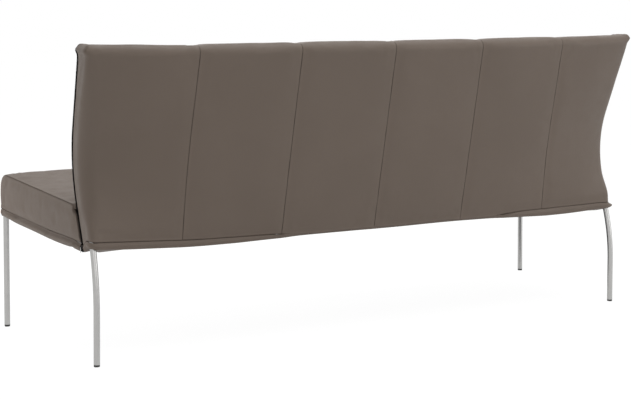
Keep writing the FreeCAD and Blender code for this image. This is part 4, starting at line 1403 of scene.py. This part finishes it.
# The seat's covers
@dataclass
class SeatCovers:
    """Top and front panels of the seat and its two end faces."""

    form: SofaForm
    works: LeatherWorks
    edge_radius: float = 0.006
    band_seam: float = 0.0225
    face_length: float = 0.085
    roll_steps: int = 12
    top_rows: int = 56
    crease_z: float = 0.447
    crease_half_z: float = 0.45
    crease_width: float = 0.015
    crease_drop: float = 0.006
    crease_tuck: float = 0.016
    end_drop: float = 0.014
    end_drop_place: Fade = Fade(0.88, 0.925)
    behind_zip: Fade = Fade(0.004, 0.024)
    end_panel_length: float = 0.31
    side_profile_x: float = 0.99
    side_height: float = 0.115
    side_end_z: float = 0.44
    side_reach: float = 0.30
    notch_depth: float = 0.0050
    notch_under_top: Bell = Bell(0.004, 0.007)
    notch_end: Fade = Fade(-0.016, 0.0)
    fold_depth: float = 0.0028
    fold_along: Fade = Fade(0.040, 0.130)
    fold_up: Fade = Fade(0.016, 0.001)

    def profile(self, x: Array) -> Array:
        """The seat's section at each place along its length.

        Args:
            x: places, one per column.

        Returns:
            Rows by columns by 2, the y and the z.
        """
        form, s = self.form, self.form.sizes
        tilt, r = math.radians(s.seat_tilt_deg), s.seat_roll_radius
        rise = s.seat_crown * (1 - (x / s.front_foot_x) ** 2)
        cy = form.face_y + r
        cz = form.seat_top_z(cy) + rise - r / math.cos(tilt)
        low = form.base_z(form.face_y) + self.band_seam
        v = stops(self.face_length, PITCH, True, False)[:, None]
        face = stacked(form.face_y - s.seat_face_crown * 4 * v * (1 - v), low + (cz - low) * v)
        angle = np.linspace(0, 1, self.roll_steps + 1)[1:, None] * (math.pi / 2 + tilt)
        roll = stacked(cy - r * np.cos(angle), cz + r * np.sin(angle))
        half = form.half(self.crease_half_z)
        inside = self.behind_zip(half - np.abs(x))
        zip_place = form.zip_y(self.crease_z)
        rear = np.where(inside > 0, form.front_y(np.clip(x, -half, half), self.crease_z), zip_place)
        end_y = (zip_place - form.zip_gap(self.crease_z)) * (1 - inside) + (rear + self.crease_tuck) * inside
        start_y = cy - r * math.cos(math.pi / 2 + tilt)
        y = start_y + (end_y - start_y) * np.linspace(0, 1, self.top_rows)[1:, None]
        drop = self.crease_drop + self.end_drop * self.end_drop_place(np.abs(x))
        t = np.clip((y - rear + self.crease_width) / self.crease_width, 0, 1.6)
        return np.concatenate([face, roll, stacked(y, form.seat_top_z(y) + rise - drop * t ** 2.2)])

    def top_panel(self, index: int) -> LeatherPanel:
        """A top and front panel of the left half.

        Args:
            index: 0 to 2, counted from the middle seam outwards; 2 reaches the end face.

        Returns:
            The panel.
        """
        form, e, step = self.form, self.edge_radius, self.form.sizes.seam_bottom
        if index < 2:
            x = (index + stops(step, PITCH)) * step
            section = self.profile(x)
            surface = stacked(x, section[..., 0], section[..., 1])
        else:
            arc = np.radians(np.linspace(0, 45, 6))[1:]
            flat = stops(self.end_panel_length, PITCH, True, False)
            section = self.profile(2 * step + flat * self.end_panel_length)
            side = form.side_x(section[:, -1:, 0])
            last = section[:, -1:]
            tangent = directions(section[:, -1])[:, None]
            drop = e * (1 - np.cos(arc))
            body = stacked(2 * step + (side - e - 2 * step) * flat, section[..., 0], section[..., 1])
            rim = stacked(side - e + e * np.sin(arc), last[..., 0] + tangent[..., 1] * drop,
                          last[..., 1] - tangent[..., 0] * drop)
            surface = np.concatenate([body, rim], axis=1)
        name = "seat_panel_" + str(4 + index)
        return LeatherPanel(name, (name, "seat_foam"), surface,
                            (Join.SEAM, Join.SEAM, Join.HEM, Join.TUCK),
                            puff=0.0030, seed=100 + index, fill=0.85)

    def side_stations(self, edge: Array) -> tuple[Array, Array]:
        """Stations along the end face, close together round its front corner.

        Args:
            edge: the end face's upper edge.

        Returns:
            The y and the top's z of each station.
        """
        corner = self.roll_steps
        order = np.arange(len(edge))
        table = edge[(order == corner) | ((order > corner) & (edge[:, 0] > edge[corner, 0]))]
        angles = np.radians(np.linspace(0, 90, self.roll_steps + 1))
        near = table[0, 0] + self.form.sizes.seat_roll_radius * (1 - np.cos(angles))
        left = self.form.zip_y(self.side_end_z) - self.form.zip_gap(self.side_end_z) - near[-1]
        rest = near[-1] + left * stops(left, left / int(left / PITCH), False, True)[1:]
        y = np.concatenate([near, rest])
        return y, np.interp(y, *table.T)

    def away_from(self, line: Array, y: Array, z: Array) -> Array:
        """Distance of places in the YZ plane from a line of short pieces.

        Args:
            line: the line's points.
            y: places from front to rear.
            z: heights.

        Returns:
            Distances.
        """
        gap = np.full(z.shape, 1.0)
        for a, b in zip(line, line[1:]):
            ab = b - a
            t = np.clip(((y - a[0]) * ab[0] + (z - a[1]) * ab[1]) / max(ab @ ab, 1e-12), 0, 1)
            gap = np.minimum(gap, np.hypot(y - a[0] - t * ab[0], z - a[1] - t * ab[1]))
        return gap

    def side_panel(self) -> LeatherPanel:
        """The left end face, from the front edge to the zip.

        Returns:
            The panel.
        """
        form, e = self.form, self.edge_radius
        cut = e * (1 - math.cos(math.pi / 4))
        line = self.profile(np.array([self.side_profile_x]))[:, 0]
        edge = line + cut * directions(line)[:, ::-1] * np.array([1.0, -1.0])
        stations, top = self.side_stations(edge)
        first, end = stations[0], stations[-1]
        low = form.base_z(stations) + self.band_seam
        z = low + (top - low) * stops(self.side_height, PITCH)[:, None]
        follow = smooth((stations - first) / (end - first) * 1.35 - 0.35)
        y = stations + follow * (form.zip_y(z) - form.zip_gap(z) - form.zip_y(top) + form.zip_gap(top))
        y -= self.notch_depth * self.notch_under_top(top - z) * self.notch_end(stations - end)
        gap = self.away_from(edge, y, z)
        inset = np.clip(e - cut - gap, 0, e - cut)
        fold = self.fold_depth * self.fold_along(y - form.face_y) * self.fold_up(z - low)
        surface = stacked(form.side_x(y) - (e - np.sqrt(np.maximum(e ** 2 - inset ** 2, 0))) - fold, y, z)
        distances = [np.minimum(self.side_reach, y - y[:, :1]),
                     np.linalg.norm(surface - surface[:, -1:], axis=2),
                     np.linalg.norm(surface - surface[:1], axis=2), gap]
        return LeatherPanel("seat_side_panel_left", ("seat_side_panel_left",), surface,
                            (Join.SEAM, Join.ZIP, Join.HEM, Join.SEAM),
                            puff=0.0036, seed=120, fill=0.85, distances=distances)

    def build(self) -> None:
        """Cuts all eight panels."""
        for i in range(3):
            panel = self.top_panel(i)
            self.works.cut(panel)
            self.works.cut(panel.mirrored("seat_panel_" + str(3 - i), 110 + i))
        side = self.side_panel()
        self.works.cut(side)
        self.works.cut(side.mirrored("seat_side_panel_right", 121))
        LOG.info("seat covers cut")


# The band round the underside
@dataclass
class UnderBand:
    """Puffed leather band in four pieces, inside which the lining is tacked."""

    form: SofaForm
    works: LeatherWorks
    covers: BackCovers
    height: float = 0.0230
    rear_height: float = 0.0185
    proud: float = 0.0015
    recess: float = 0.007
    flange: float = 0.030
    edge_radius: float = 0.006
    lip_radius: float = 0.0018
    lip_gap: float = 0.0004
    bulge: float = 0.0018
    corner_radius: float = 0.012
    shoulder: float = 0.0074
    hole_radius: float = 0.0098
    hole_below: float = 0.012
    front_hole_above: float = 0.0032
    rear_hole_above: float = 0.0150
    rear_leg_y: float = 0.2475
    whole_share: float = 0.9
    rear_change: Fade = Fade(0.004, 0.011)
    rear_tuck: float = 0.0008
    drawn_in: Fade = Fade(0.30, 0.88)
    fold_start: float = 0.0002
    side_fold: float = 0.0080
    side_fold_along: Fade = Fade(0.030, 0.120)
    front_fold: float = 0.0040
    front_fold_along: Fade = Fade(0.020, 0.100)

    def section(self, top: Array, out: Array, tuck: Array) -> Array:
        """Outward and upward places of the band's section for each station.

        Args:
            top: visible height at each station.
            out: how far its face stands out at each station.
            tuck: how far its top is drawn in under the cover.

        Returns:
            Rows by stations by 2.
        """
        r, lip = self.edge_radius, self.lip_radius
        rows = [(out - r, 0.0)] * 4
        rows += [(out - r + r * math.sin(a), r * (1 - math.cos(a)))
                 for a in np.radians(np.linspace(15, 90, 6))]
        for share in np.linspace(0.12, 0.88, 6):
            bulge = self.bulge * 4 * share * (1 - share) - tuck * self.drawn_in(share)
            rows.append((out + bulge, r + (top - r - lip - self.lip_gap) * share))
        rows += [(out - tuck - lip * (1 - math.cos(a)), top - lip + lip * math.sin(a))
                 for a in np.radians((10, 32, 55, 80))]
        rows += [(out - tuck - 0.0055, top - 0.0004), (out - tuck - 0.0085, top - 0.0010)]
        return np.stack([stacked(a, b + 0 * top) for a, b in rows])

    def sweep(self, name: str, line: Array, inner: Array, shape: tuple[Array, Array, Array],
              seed: int) -> LeatherPanel:
        """Lays the section along a plan line.

        Args:
            name: the piece's name.
            line: plan points of the cover's face, in the order that keeps the outside on the right hand.
            inner: plan points of the flange's inner edge, one for each point of the line.
            shape: the section's top, out and tuck at each point.
            seed: pattern of its gathers.

        Returns:
            The panel.
        """
        outward = directions(line)[:, ::-1] * np.array([1.0, -1.0])
        section = self.section(*shape)
        plan = line + outward * section[..., :1]
        plan[:3] = inner + (plan[3] - inner) * np.array([0.0, 0.35, 0.70])[:, None, None]
        surface = np.dstack([plan, self.form.base_z(plan[..., 1]) + section[..., 1]])
        return LeatherPanel(name, (name,), surface, (Join.BUTT, Join.BUTT, Join.TUCK, Join.TUCK),
                            puff=0.0, seed=seed, fill=0.7, sim_cap=0.002)

    def spread(self, line: Array, inner: Array, marks: tuple[int, ...] = (0, -1),
               partners: list[Pair] | None = None) -> Array:
        """Gives each point of an outer line its partner on an inner line.

        Args:
            line: the outer line's points.
            inner: the inner line as close points.
            marks: numbers of the outer points that have a partner given.
            partners: those partners, the inner line's two ends where none are given.

        Returns:
            One inner point for each outer point, evenly spread between the given ones.
        """
        length, run = lengths(line), lengths(inner)
        near = inner[[0, -1]] if partners is None else np.array(partners)
        places = [run[np.argmin(np.hypot(*(inner - place).T))] for place in near]
        return along_line(np.interp(length, length[list(marks)], places), run, inner)

    def rear_inner(self, line: Array) -> Array:
        """Inner edge of the flange for each point of the rear line.

        Args:
            line: the rear line.

        Returns:
            Plan points.
        """
        form, z = self.form, self.form.sizes.base_height
        half = form.half(z) - self.flange
        corner_y = form.rear_y(half, z) - self.flange
        end_y = line[0, 1]
        xs = np.linspace(half, -half, 500)
        side = stacked(half, np.linspace(end_y, corner_y, 60)[:-1])
        inner = np.concatenate([side, stacked(xs, form.rear_y(xs, z) - self.flange), side[::-1] * MIRROR])
        shoulder = int(np.argmax(np.abs(line[:, 0]) < form.half(z) - self.shoulder))
        return self.spread(line, inner, (0, shoulder, len(line) - 1 - shoulder, len(line) - 1),
                           [(half, end_y), (half, corner_y), (-half, corner_y), (-half, end_y)])

    def rear_line(self) -> Array:
        """Plan line from the left zip round the rear to the right zip, anticlockwise seen from above.

        Returns:
            Plan points.
        """
        z = self.form.sizes.base_height + 0.004
        shares = np.concatenate([np.linspace(0, 0.19, 9)[:-1], np.linspace(0.19, 0.34, 14)[:-1],
                                 np.linspace(0.34, 1, 30)])
        end = self.covers.outline_end(shares, np.array([z]))[0]
        xs = np.linspace(end[-1, 0], 0, 60)[1:]
        left = np.concatenate([end, stacked(xs, self.form.rear_y(xs, z))])
        return np.concatenate([left, left[:-1][::-1] * MIRROR])

    def front_corner(self, start_deg: float, end_deg: float) -> Array:
        """Part of the plan arc round the left front corner.

        Args:
            start_deg: where it starts.
            end_deg: where it ends.

        Returns:
            Plan points.
        """
        r = self.corner_radius
        centre = (self.form.side_x(self.form.face_y) - r, self.form.face_y + r)
        return ring(centre, r, start_deg, end_deg, 7)

    def side_line(self) -> Array:
        """Plan line of the left side, from the front corner's middle to the zip.

        Returns:
            Plan points.
        """
        form, z = self.form, self.form.sizes.base_height
        ys = np.linspace(form.face_y + self.corner_radius, form.zip_y(z) - form.zip_gap(z), 66)[1:]
        return np.concatenate([self.front_corner(-45, 0), stacked(form.side_x(ys), ys)])

    def front_line(self) -> Array:
        """Plan line of the front between the middles of its two corners.

        Returns:
            Plan points.
        """
        reach = self.form.side_x(self.form.face_y) - self.corner_radius
        corner = self.front_corner(-90, -45)
        xs = np.linspace(-reach, reach, 220)[1:-1]
        return np.concatenate([corner[::-1] * MIRROR, stacked(xs, self.form.face_y), corner])

    def build(self) -> list[Obj]:
        """Cuts the four pieces of the band.

        Returns:
            Their objects.
        """
        rear, side, front = self.rear_line(), self.side_line(), self.front_line()
        low = self.covers.hem_lift(rear[:, 0])
        change = self.rear_change(low)
        top = (low + self.fold_start) * change + self.rear_height * (1 - change)
        out = self.proud * change - self.recess * (1 - change)
        tuck = np.full(len(rear), self.rear_tuck)
        rear_band = self.sweep("band_rear", rear, self.rear_inner(rear), (top, out, tuck), 130)

        face = self.form.face_y
        start_x, start_y = self.form.side_x(face) - self.flange, face + self.flange
        ys = np.linspace(start_y, side[-1, 1], 300)
        inner = self.spread(side, stacked(self.form.side_x(ys) - self.flange, ys))
        fold = self.fold_start + self.side_fold * self.side_fold_along(side[:, 1] - face)
        flat = np.ones(len(side))
        side_band = self.sweep("band_side_left", side, inner,
                               (self.height * flat, self.proud * flat, fold), 131)

        inner = self.spread(front, stacked(np.linspace(-start_x, start_x, 500), start_y))
        fold = self.fold_start + self.front_fold * self.front_fold_along(front[-1, 0] - np.abs(front[:, 0]))
        flat = np.ones(len(front))
        front_band = self.sweep("band_front", front, inner,
                                (self.height * flat, self.proud * flat, fold), 133)
        made = []
        for panel in (rear_band, side_band, side_band.mirrored("band_side_right", 132), front_band):
            made.append(self.works.cut(panel))
        LOG.info("band cut")
        return made

    def leg_cutters(self) -> list[Obj]:
        """Short posts a little thicker than the legs where they pass the flange and the lining.

        Returns:
            Their objects.
        """
        s = self.form.sizes
        holes = ((s.front_foot_x, s.front_foot_y, self.front_hole_above),
                 (s.rear_foot_x, self.rear_leg_y, self.rear_hole_above))
        cutters = []
        for side in (-1, 1):
            for x, y, above in holes:
                pick()
                z = self.form.base_z(y)
                place = (side * (x - z * tan_deg(s.leg_splay_deg)), y, z + (above - self.hole_below) / 2)
                bpy.ops.mesh.primitive_cylinder_add(vertices=32, radius=self.hole_radius,
                                                    depth=above + self.hole_below, location=place)
                cutters.append(bpy.context.object)
        return cutters

    def pierce(self, obj: Obj, cutter: Obj) -> None:
        """Cuts one hole and keeps the piece as it was where the cut would spoil it.

        Args:
            obj: the piece.
            cutter: the post.
        """
        points = np.array([v.co for v in obj.data.vertices])
        if np.hypot(*(points[:, :2] - np.array(cutter.location)[:2]).T).min() > 2 * self.hole_radius:
            return
        kept = obj.data
        for own in (False, True):
            obj.data = kept.copy()
            apply_modifier(obj, "BOOLEAN", operation="DIFFERENCE", solver="EXACT", object=cutter,
                           use_self=own)
            if len(obj.data.polygons) > self.whole_share * len(kept.polygons):
                LOG.info("%s pierced, %d faces, own %s", obj.name, len(obj.data.polygons), own)
                return
        obj.data = kept
        LOG.warning("%s is not pierced", obj.name)


@dataclass
class Lining:
    """Black cloth tacked under the seat, inside the band's flange."""

    form: SofaForm
    book: FinishBook
    inset: float = 0.026
    lift: float = 0.0029
    sag: float = 0.004
    sag_from_edge: Fade = Fade(0.0, 0.06)
    sag_from_bar: Fade = Fade(0.0, 0.12)
    ripple_from_edge: Fade = Fade(0.0, 0.05)
    rear_half: float = 0.905
    narrow_from_y: float = 0.18
    cross_bars_x: tuple[float, ...] = (-0.47, 0.0, 0.47)
    flat_size: Pair = (1.97, 0.56)
    flat_area: float = 0.94
    columns: int = 161
    rows: int = 52
    thickness: float = 0.0007
    ripples: tuple[Pair, ...] = ((0.09, 0.0005), (0.17, 0.0007))

    def build(self) -> Obj:
        """Makes the cloth with a slight sag between the seat bars.

        Returns:
            The cloth.
        """
        form = self.form
        front = form.face_y + self.inset
        along = np.linspace(-self.rear_half, self.rear_half, self.columns)
        rear = form.rear_y(along, form.sizes.base_height) - self.inset
        columns = np.linspace(-1, 1, self.columns)
        y = front + (rear - front) * np.linspace(0, 1, self.rows)[:, None]
        reach = form.side_x(y) - self.inset
        narrow = np.minimum(reach, form.sizes.back_half_bottom - self.inset)
        reach = np.where(y > self.narrow_from_y, narrow, reach)
        x = reach * columns
        near = np.minimum.reduce([(1 - np.abs(columns)) * reach, y - front, rear - y])
        bars = np.minimum.reduce([np.abs(x - bar) for bar in self.cross_bars_x])
        fall = self.sag * self.sag_from_edge(near) * (0.45 + 0.55 * self.sag_from_bar(bars))
        rng = np.random.default_rng(5)
        for length, size in self.ripples:
            wave = np.sin(2 * math.pi * (x + 0.3 * y) / length + rng.uniform(0, 6))
            fall += size * wave * self.ripple_from_edge(near)
        obj = grid_piece("lining_cloth", stacked(x, y, form.base_z(y) + self.lift - fall)[:, ::-1])
        wear(obj, self.book.lining)
        apply_modifier(obj, "SOLIDIFY", thickness=self.thickness, offset=0.0)
        smooth_shading(obj, 60)
        declare(obj, "base_cloth", "base_cover")
        LOG.info("lining made")
        return obj


# Zips
@dataclass
class ZipFastening:
    """Black coil zip down each end: tape, coil and loose tape ends."""

    form: SofaForm
    book: FinishBook
    tape_width: float = 0.0130
    tape_depth: float = 0.0012
    pitch: float = 0.0018
    depth: float = 0.0010
    top_bend: float = 0.006
    top_bend_height: float = 0.018
    tooth_size: Triple = (0.0022, 0.0046, 0.0012)
    coil_rise: float = 0.0006
    coil_slant: float = 0.16
    coil_shift: float = 0.0005
    tape_thickness: float = 0.0006
    end_width: float = 0.0070
    end_apart: float = 0.0034
    end_step: float = 0.0012
    end_rise: float = 0.013
    end_out: float = 0.0022
    end_curl: float = 0.012
    end_thickness: float = 0.0013
    tape_ends: tuple[tuple[int, float, float, float], ...] = (
        (-1, 0.0170, 0.14, 0.25), (1, 0.0180, 0.20, -0.20), (3, 0.0165, 0.26, -0.35))

    def path(self, count: int) -> Array:
        """Places along the zip from its lower end up to the top corner.

        Args:
            count: how many.

        Returns:
            Points as x, y and z.
        """
        form, s = self.form, self.form.sizes
        z = np.linspace(s.zip_end_z, s.zip_top_z + 0.004, 700)
        over = np.clip((z - form.roll_base) / self.top_bend_height, 0, 1)
        line = form.settled(stacked(form.half(z) - self.depth - self.top_bend * over ** 2, form.zip_y(z), z))
        known = lengths(line)
        return along_line(np.linspace(0, known[-1], count), known, line)

    def across(self, along: Array) -> Array:
        """Direction across the zip where it runs along another."""
        across = np.cross(along, np.array([1.0, 0.0, 0.0]))
        return across / np.linalg.norm(across, axis=1, keepdims=True)

    def tape(self, name: str) -> Obj:
        """The woven tape under the coil.

        Args:
            name: the piece's name.

        Returns:
            The new object.
        """
        line = self.path(150)
        offsets = np.array([-0.5, -0.25, -0.06, 0.06, 0.25, 0.5]) * self.tape_width
        points = line[:, None] + self.across(directions(line))[:, None] * offsets[:, None]
        points[..., 0] -= self.tape_depth
        obj = grid_piece(name, points)
        apply_modifier(obj, "SOLIDIFY", thickness=self.tape_thickness, offset=0.0)
        wear(obj, self.book.tape)
        return obj

    def tooth(self) -> tuple[Array, list[tuple[int, ...]]]:
        """One turn of the coil as a small rounded bar.

        Returns:
            Its points and faces.
        """
        pick()
        bpy.ops.mesh.primitive_cube_add(size=1.0)
        bar = bpy.context.object
        set_points(bar.data, np.array([v.co for v in bar.data.vertices]) * np.array(self.tooth_size))
        apply_modifier(bar, "BEVEL", width=0.0003, segments=1)
        points = np.array([v.co for v in bar.data.vertices])
        faces = [tuple(p.vertices) for p in bar.data.polygons]
        bpy.data.objects.remove(bar)
        return points, faces

    def coil(self, name: str) -> Obj:
        """The closed coil: the small bar repeated along the path, turned a little each way.

        Args:
            name: the piece's name.

        Returns:
            The new object.
        """
        points, faces = self.tooth()
        line = self.path(int(0.60 / self.pitch))
        along = directions(line)
        across = self.across(along)
        out = np.cross(across, along)
        side = np.where(np.arange(len(line)) % 2, 1.0, -1.0)[:, None]
        turn_cos, turn_sin = np.cos(self.coil_slant), np.sin(self.coil_slant) * side
        wide = self.form.zip_gap(line[:, 2])[:, None, None] / self.form.sizes.zip_slot
        shifted = line + across * side * self.coil_shift
        placed = shifted[:, None] + out[:, None] * (points[:, :1] + self.coil_rise)
        placed = placed + (across * turn_cos + along * turn_sin)[:, None] * points[:, 1:2] * wide
        placed = placed + (along * turn_cos - across * turn_sin)[:, None] * points[:, 2:3]
        all_faces = [tuple(v + len(points) * i for v in f) for i in range(len(line)) for f in faces]
        mesh = bpy.data.meshes.new(name)
        mesh.from_pydata(placed.reshape(-1, 3).tolist(), [], all_faces)
        mesh.validate()
        obj = bpy.data.objects.new(name, mesh)
        bpy.context.scene.collection.objects.link(obj)
        edit_mesh(obj, "normals_make_consistent", inside=False)
        wear(obj, self.book.coil)
        return obj

    def ends(self, name: str) -> Obj:
        """The loose ends of tape below the seat, folded over the band and curled apart.

        Args:
            name: the piece's name.

        Returns:
            The new object.
        """
        form, z_end = self.form, self.form.sizes.zip_end_z
        t = np.linspace(0, 1, 9)[:, None]
        w = np.linspace(-0.5, 0.5, 5)[None]
        pieces = []
        for side, length, curl, turn in self.tape_ends:
            y = form.zip_y(z_end) + side * self.end_apart + w * self.end_width * math.cos(turn)
            y = y + side * self.end_step * t ** 2
            z = z_end + self.end_rise - self.end_step * side - length * t
            x = form.half(z_end) + self.end_out + curl * self.end_curl * np.sin(math.pi * t) - 0.0010 * t
            x = x + w * self.end_width * math.sin(turn) + 0.0006 * np.sin(w * 5)
            pieces.append(grid_piece(name + str(side), form.settled(stacked(x, y, z))))
            apply_modifier(pieces[-1], "SOLIDIFY", thickness=self.end_thickness, offset=0.0)
        pick(*pieces)
        bpy.ops.object.join()
        obj = bpy.context.object
        obj.name = name
        wear(obj, self.book.tape)
        return obj

    def build(self) -> None:
        """Makes the left zip, then its mirror at the right end."""
        for end in ("left", "right"):
            pieces = (self.tape("zip_tape_" + end), self.coil("zip_coil_" + end),
                      self.ends("zip_tape_ends_" + end))
            for obj in pieces:
                if end == "right":
                    obj.data.transform(Matrix.Scale(-1, 4, Vector((1, 0, 0))))
                    obj.data.flip_normals()
                smooth_shading(obj, 35)
                declare(obj, "zip_tape", "zip_" + end)
            LOG.info("zip %s made", end)


# Straps and frame
@dataclass
class FrameDressing:
    """Woven straps over the webbing nodes, and finishes for the nodes that stay as they are."""

    book: FinishBook

    def straps(self) -> None:
        """Makes a strap piece over each webbing node, following its own solids."""
        for node in ("seat_webbing", "back_webbing"):
            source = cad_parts[node]
            copy = source.copy()
            copy.data = source.data.copy()
            bpy.context.scene.collection.objects.link(copy)
            copy.parent = None
            for key in list(copy.keys()):
                del copy[key]
            copy.name = node.replace("webbing", "straps")
            edit_mesh(copy, "remove_doubles", threshold=0.00001)
            wear(copy, self.book.strap)
            smooth_shading(copy, 35)
            declare(copy, "webbing", node)
        LOG.info("straps made")

    def build(self) -> None:
        """Makes the straps, then gives every shown node its finish."""
        self.straps()
        finishes = {"leg": self.book.steel, "glide": self.book.glide, "slider": self.book.zip_metal,
                    "pull": self.book.zip_metal, "": self.book.frame}
        for name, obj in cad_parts.items():
            if not obj.hide_render:
                wear(obj, next(finish for part, finish in finishes.items() if part in name))
                LOG.info("%s dressed", name)


# Studio
@dataclass
class Studio:
    """Pale floor, soft lamps and the camera of the photo."""

    camera_place: Triple = (2.0712, 3.6536, 0.930)
    turn_deg: float = 28.554
    tilt_deg: float = 7.493
    lens: float = 73.974
    floor_shade: float = 0.90
    floor_glow: float = 1.13
    floor_glow_share: float = 0.82
    world_light: float = 0.46
    card_place: Triple = (-0.43, -0.05, 0.14)
    card_size: Triple = (1.05, 0.28, 1.0)

    def floor(self) -> None:
        """A wide floor that shows white and keeps a soft shadow."""
        pick()
        bpy.ops.mesh.primitive_plane_add(size=60.0, location=(0, 0, -0.0005))
        plane = bpy.context.object
        plane.name = "studio_floor"
        material = bpy.data.materials.new("studio_white")
        material.use_nodes = True
        nodes = Nodes(material.node_tree)
        matt = nodes.add("BsdfDiffuse", Color=(*[self.floor_shade] * 3, 1.0))
        glow = nodes.add("Emission", Color=(1.0, 1.0, 1.0, 1.0), Strength=self.floor_glow)
        rays = nodes.add("LightPath").outputs
        seen = nodes.maths("MAXIMUM", rays["Is Camera Ray"], rays["Is Glossy Ray"])
        mix = nodes.add("MixShader")
        shares = (nodes.maths("MULTIPLY", seen, self.floor_glow_share), matt.outputs[0], glow.outputs[0])
        for socket, value in zip(mix.inputs, shares):
            nodes.plug(socket, value)
        nodes.add("OutputMaterial", Surface=mix.outputs[0])
        wear(plane, material)

    def world(self) -> None:
        """Even light from all round, and white behind the object."""
        world = bpy.data.worlds.new("studio")
        bpy.context.scene.world = world
        world.use_nodes = True
        nodes = Nodes(world.node_tree)
        rays = nodes.add("LightPath").outputs
        seen = nodes.maths("MAXIMUM", rays["Is Camera Ray"], rays["Is Glossy Ray"])
        seen = nodes.maths("MAXIMUM", seen, rays["Is Transmission Ray"])
        light = nodes.add("Background", Color=(1.0, 1.0, 1.0, 1.0),
                          Strength=nodes.ramp(seen, 0.0, 1.0, self.world_light, 1.0))
        nodes.add("OutputWorld", Surface=light.outputs[0])

    def lamp(self, name: str, place: Triple, target: Triple, size: float, power: float,
             mirrored: bool = True) -> None:
        """Adds one square soft lamp.

        Args:
            name: the lamp's name.
            place: where it hangs.
            target: what it points at.
            size: its side.
            power: its power in watts.
            mirrored: whether glossy faces show it.
        """
        data = bpy.data.lights.new(name, "AREA")
        data.shape = "SQUARE"
        data.size = size
        data.energy = power
        obj = bpy.data.objects.new(name, data)
        bpy.context.scene.collection.objects.link(obj)
        obj.location = place
        obj.rotation_euler = (Vector(target) - Vector(place)).to_track_quat("-Z", "Y").to_euler()
        obj.visible_glossy = mirrored

    def camera(self) -> None:
        """The photo's camera."""
        data = bpy.data.cameras.new("photo_camera")
        data.lens = self.lens
        data.sensor_width = 36.0
        data.clip_end = 100.0
        obj = bpy.data.objects.new("photo_camera", data)
        bpy.context.scene.collection.objects.link(obj)
        obj.location = self.camera_place
        turn, tilt = math.radians(self.turn_deg), math.radians(self.tilt_deg)
        level = math.cos(tilt)
        forward = Vector((-math.sin(turn) * level, -math.cos(turn) * level, -math.sin(tilt)))
        obj.rotation_euler = forward.to_track_quat("-Z", "Y").to_euler()
        bpy.context.scene.camera = obj

    def card(self) -> None:
        """A dark card between the right legs, seen only mirrored in their steel: a painted reflection of the
        shade under the seat.
        """
        pick()
        upright = (math.radians(90), 0, 0)
        bpy.ops.mesh.primitive_plane_add(size=1.0, location=self.card_place, rotation=upright)
        card = bpy.context.object
        card.name = "studio_flag"
        card.scale = self.card_size
        material, nodes, shader = new_finish("studio_black")
        nodes.set(shader, Base_Color=(0.01, 0.01, 0.01, 1.0), Roughness=1.0)
        wear(card, material)
        for ray in ("camera", "diffuse", "transmission", "volume_scatter", "shadow"):
            setattr(card, "visible_" + ray, False)

    def build(self) -> None:
        """Sets up floor, world, lamps and camera."""
        # a dark card seen only in the legs' steel, a painted reflection of the shade under the seat
        self.card()
        self.floor()
        self.world()
        self.lamp("overhead_softbox", (-0.4, 0.5, 3.6), (0, 0.1, 0.4), size=3.4, power=61.0)
        self.lamp("front_softbox", (0.8, -3.0, 2.8), (0.0, -0.1, 0.5), size=2.0, power=36.0,
                  mirrored=False)
        self.lamp("side_softbox", (1.75, -0.6, 0.42), (0.97, -0.1, 0.40), size=0.5, power=2.5,
                  mirrored=False)
        self.lamp("left_fill", (1.6, 3.7, 1.5), (0.6, 0.2, 0.6), size=1.2, power=9.0)
        self.lamp("rear_fill", (-3.6, 3.4, 1.7), (-0.9, 0, 0.6), size=2.4, power=39.0)
        self.camera()
        bpy.context.scene.view_settings.view_transform = "Standard"
        LOG.info("studio ready")


def main() -> None:
    """Builds the studio, covers, band, lining, zips and straps in order."""
    logging.basicConfig(level=logging.INFO, format="%(message)s")
    book = FinishBook()
    works = LeatherWorks(book)
    Studio().build()
    back = BackCovers(FORM, works)
    back.build()
    SeatCovers(FORM, works).build()
    band = UnderBand(FORM, works, back)
    bands = band.build()
    works.finish()
    cutters = band.leg_cutters()
    lining = Lining(FORM, book).build()
    for obj in [*bands, lining]:
        for cutter in cutters:
            band.pierce(obj, cutter)
    for cutter in cutters:
        bpy.data.objects.remove(cutter)
    ZipFastening(FORM, book).build()
    FrameDressing(book).build()


if __name__ == "__main__":
    main()
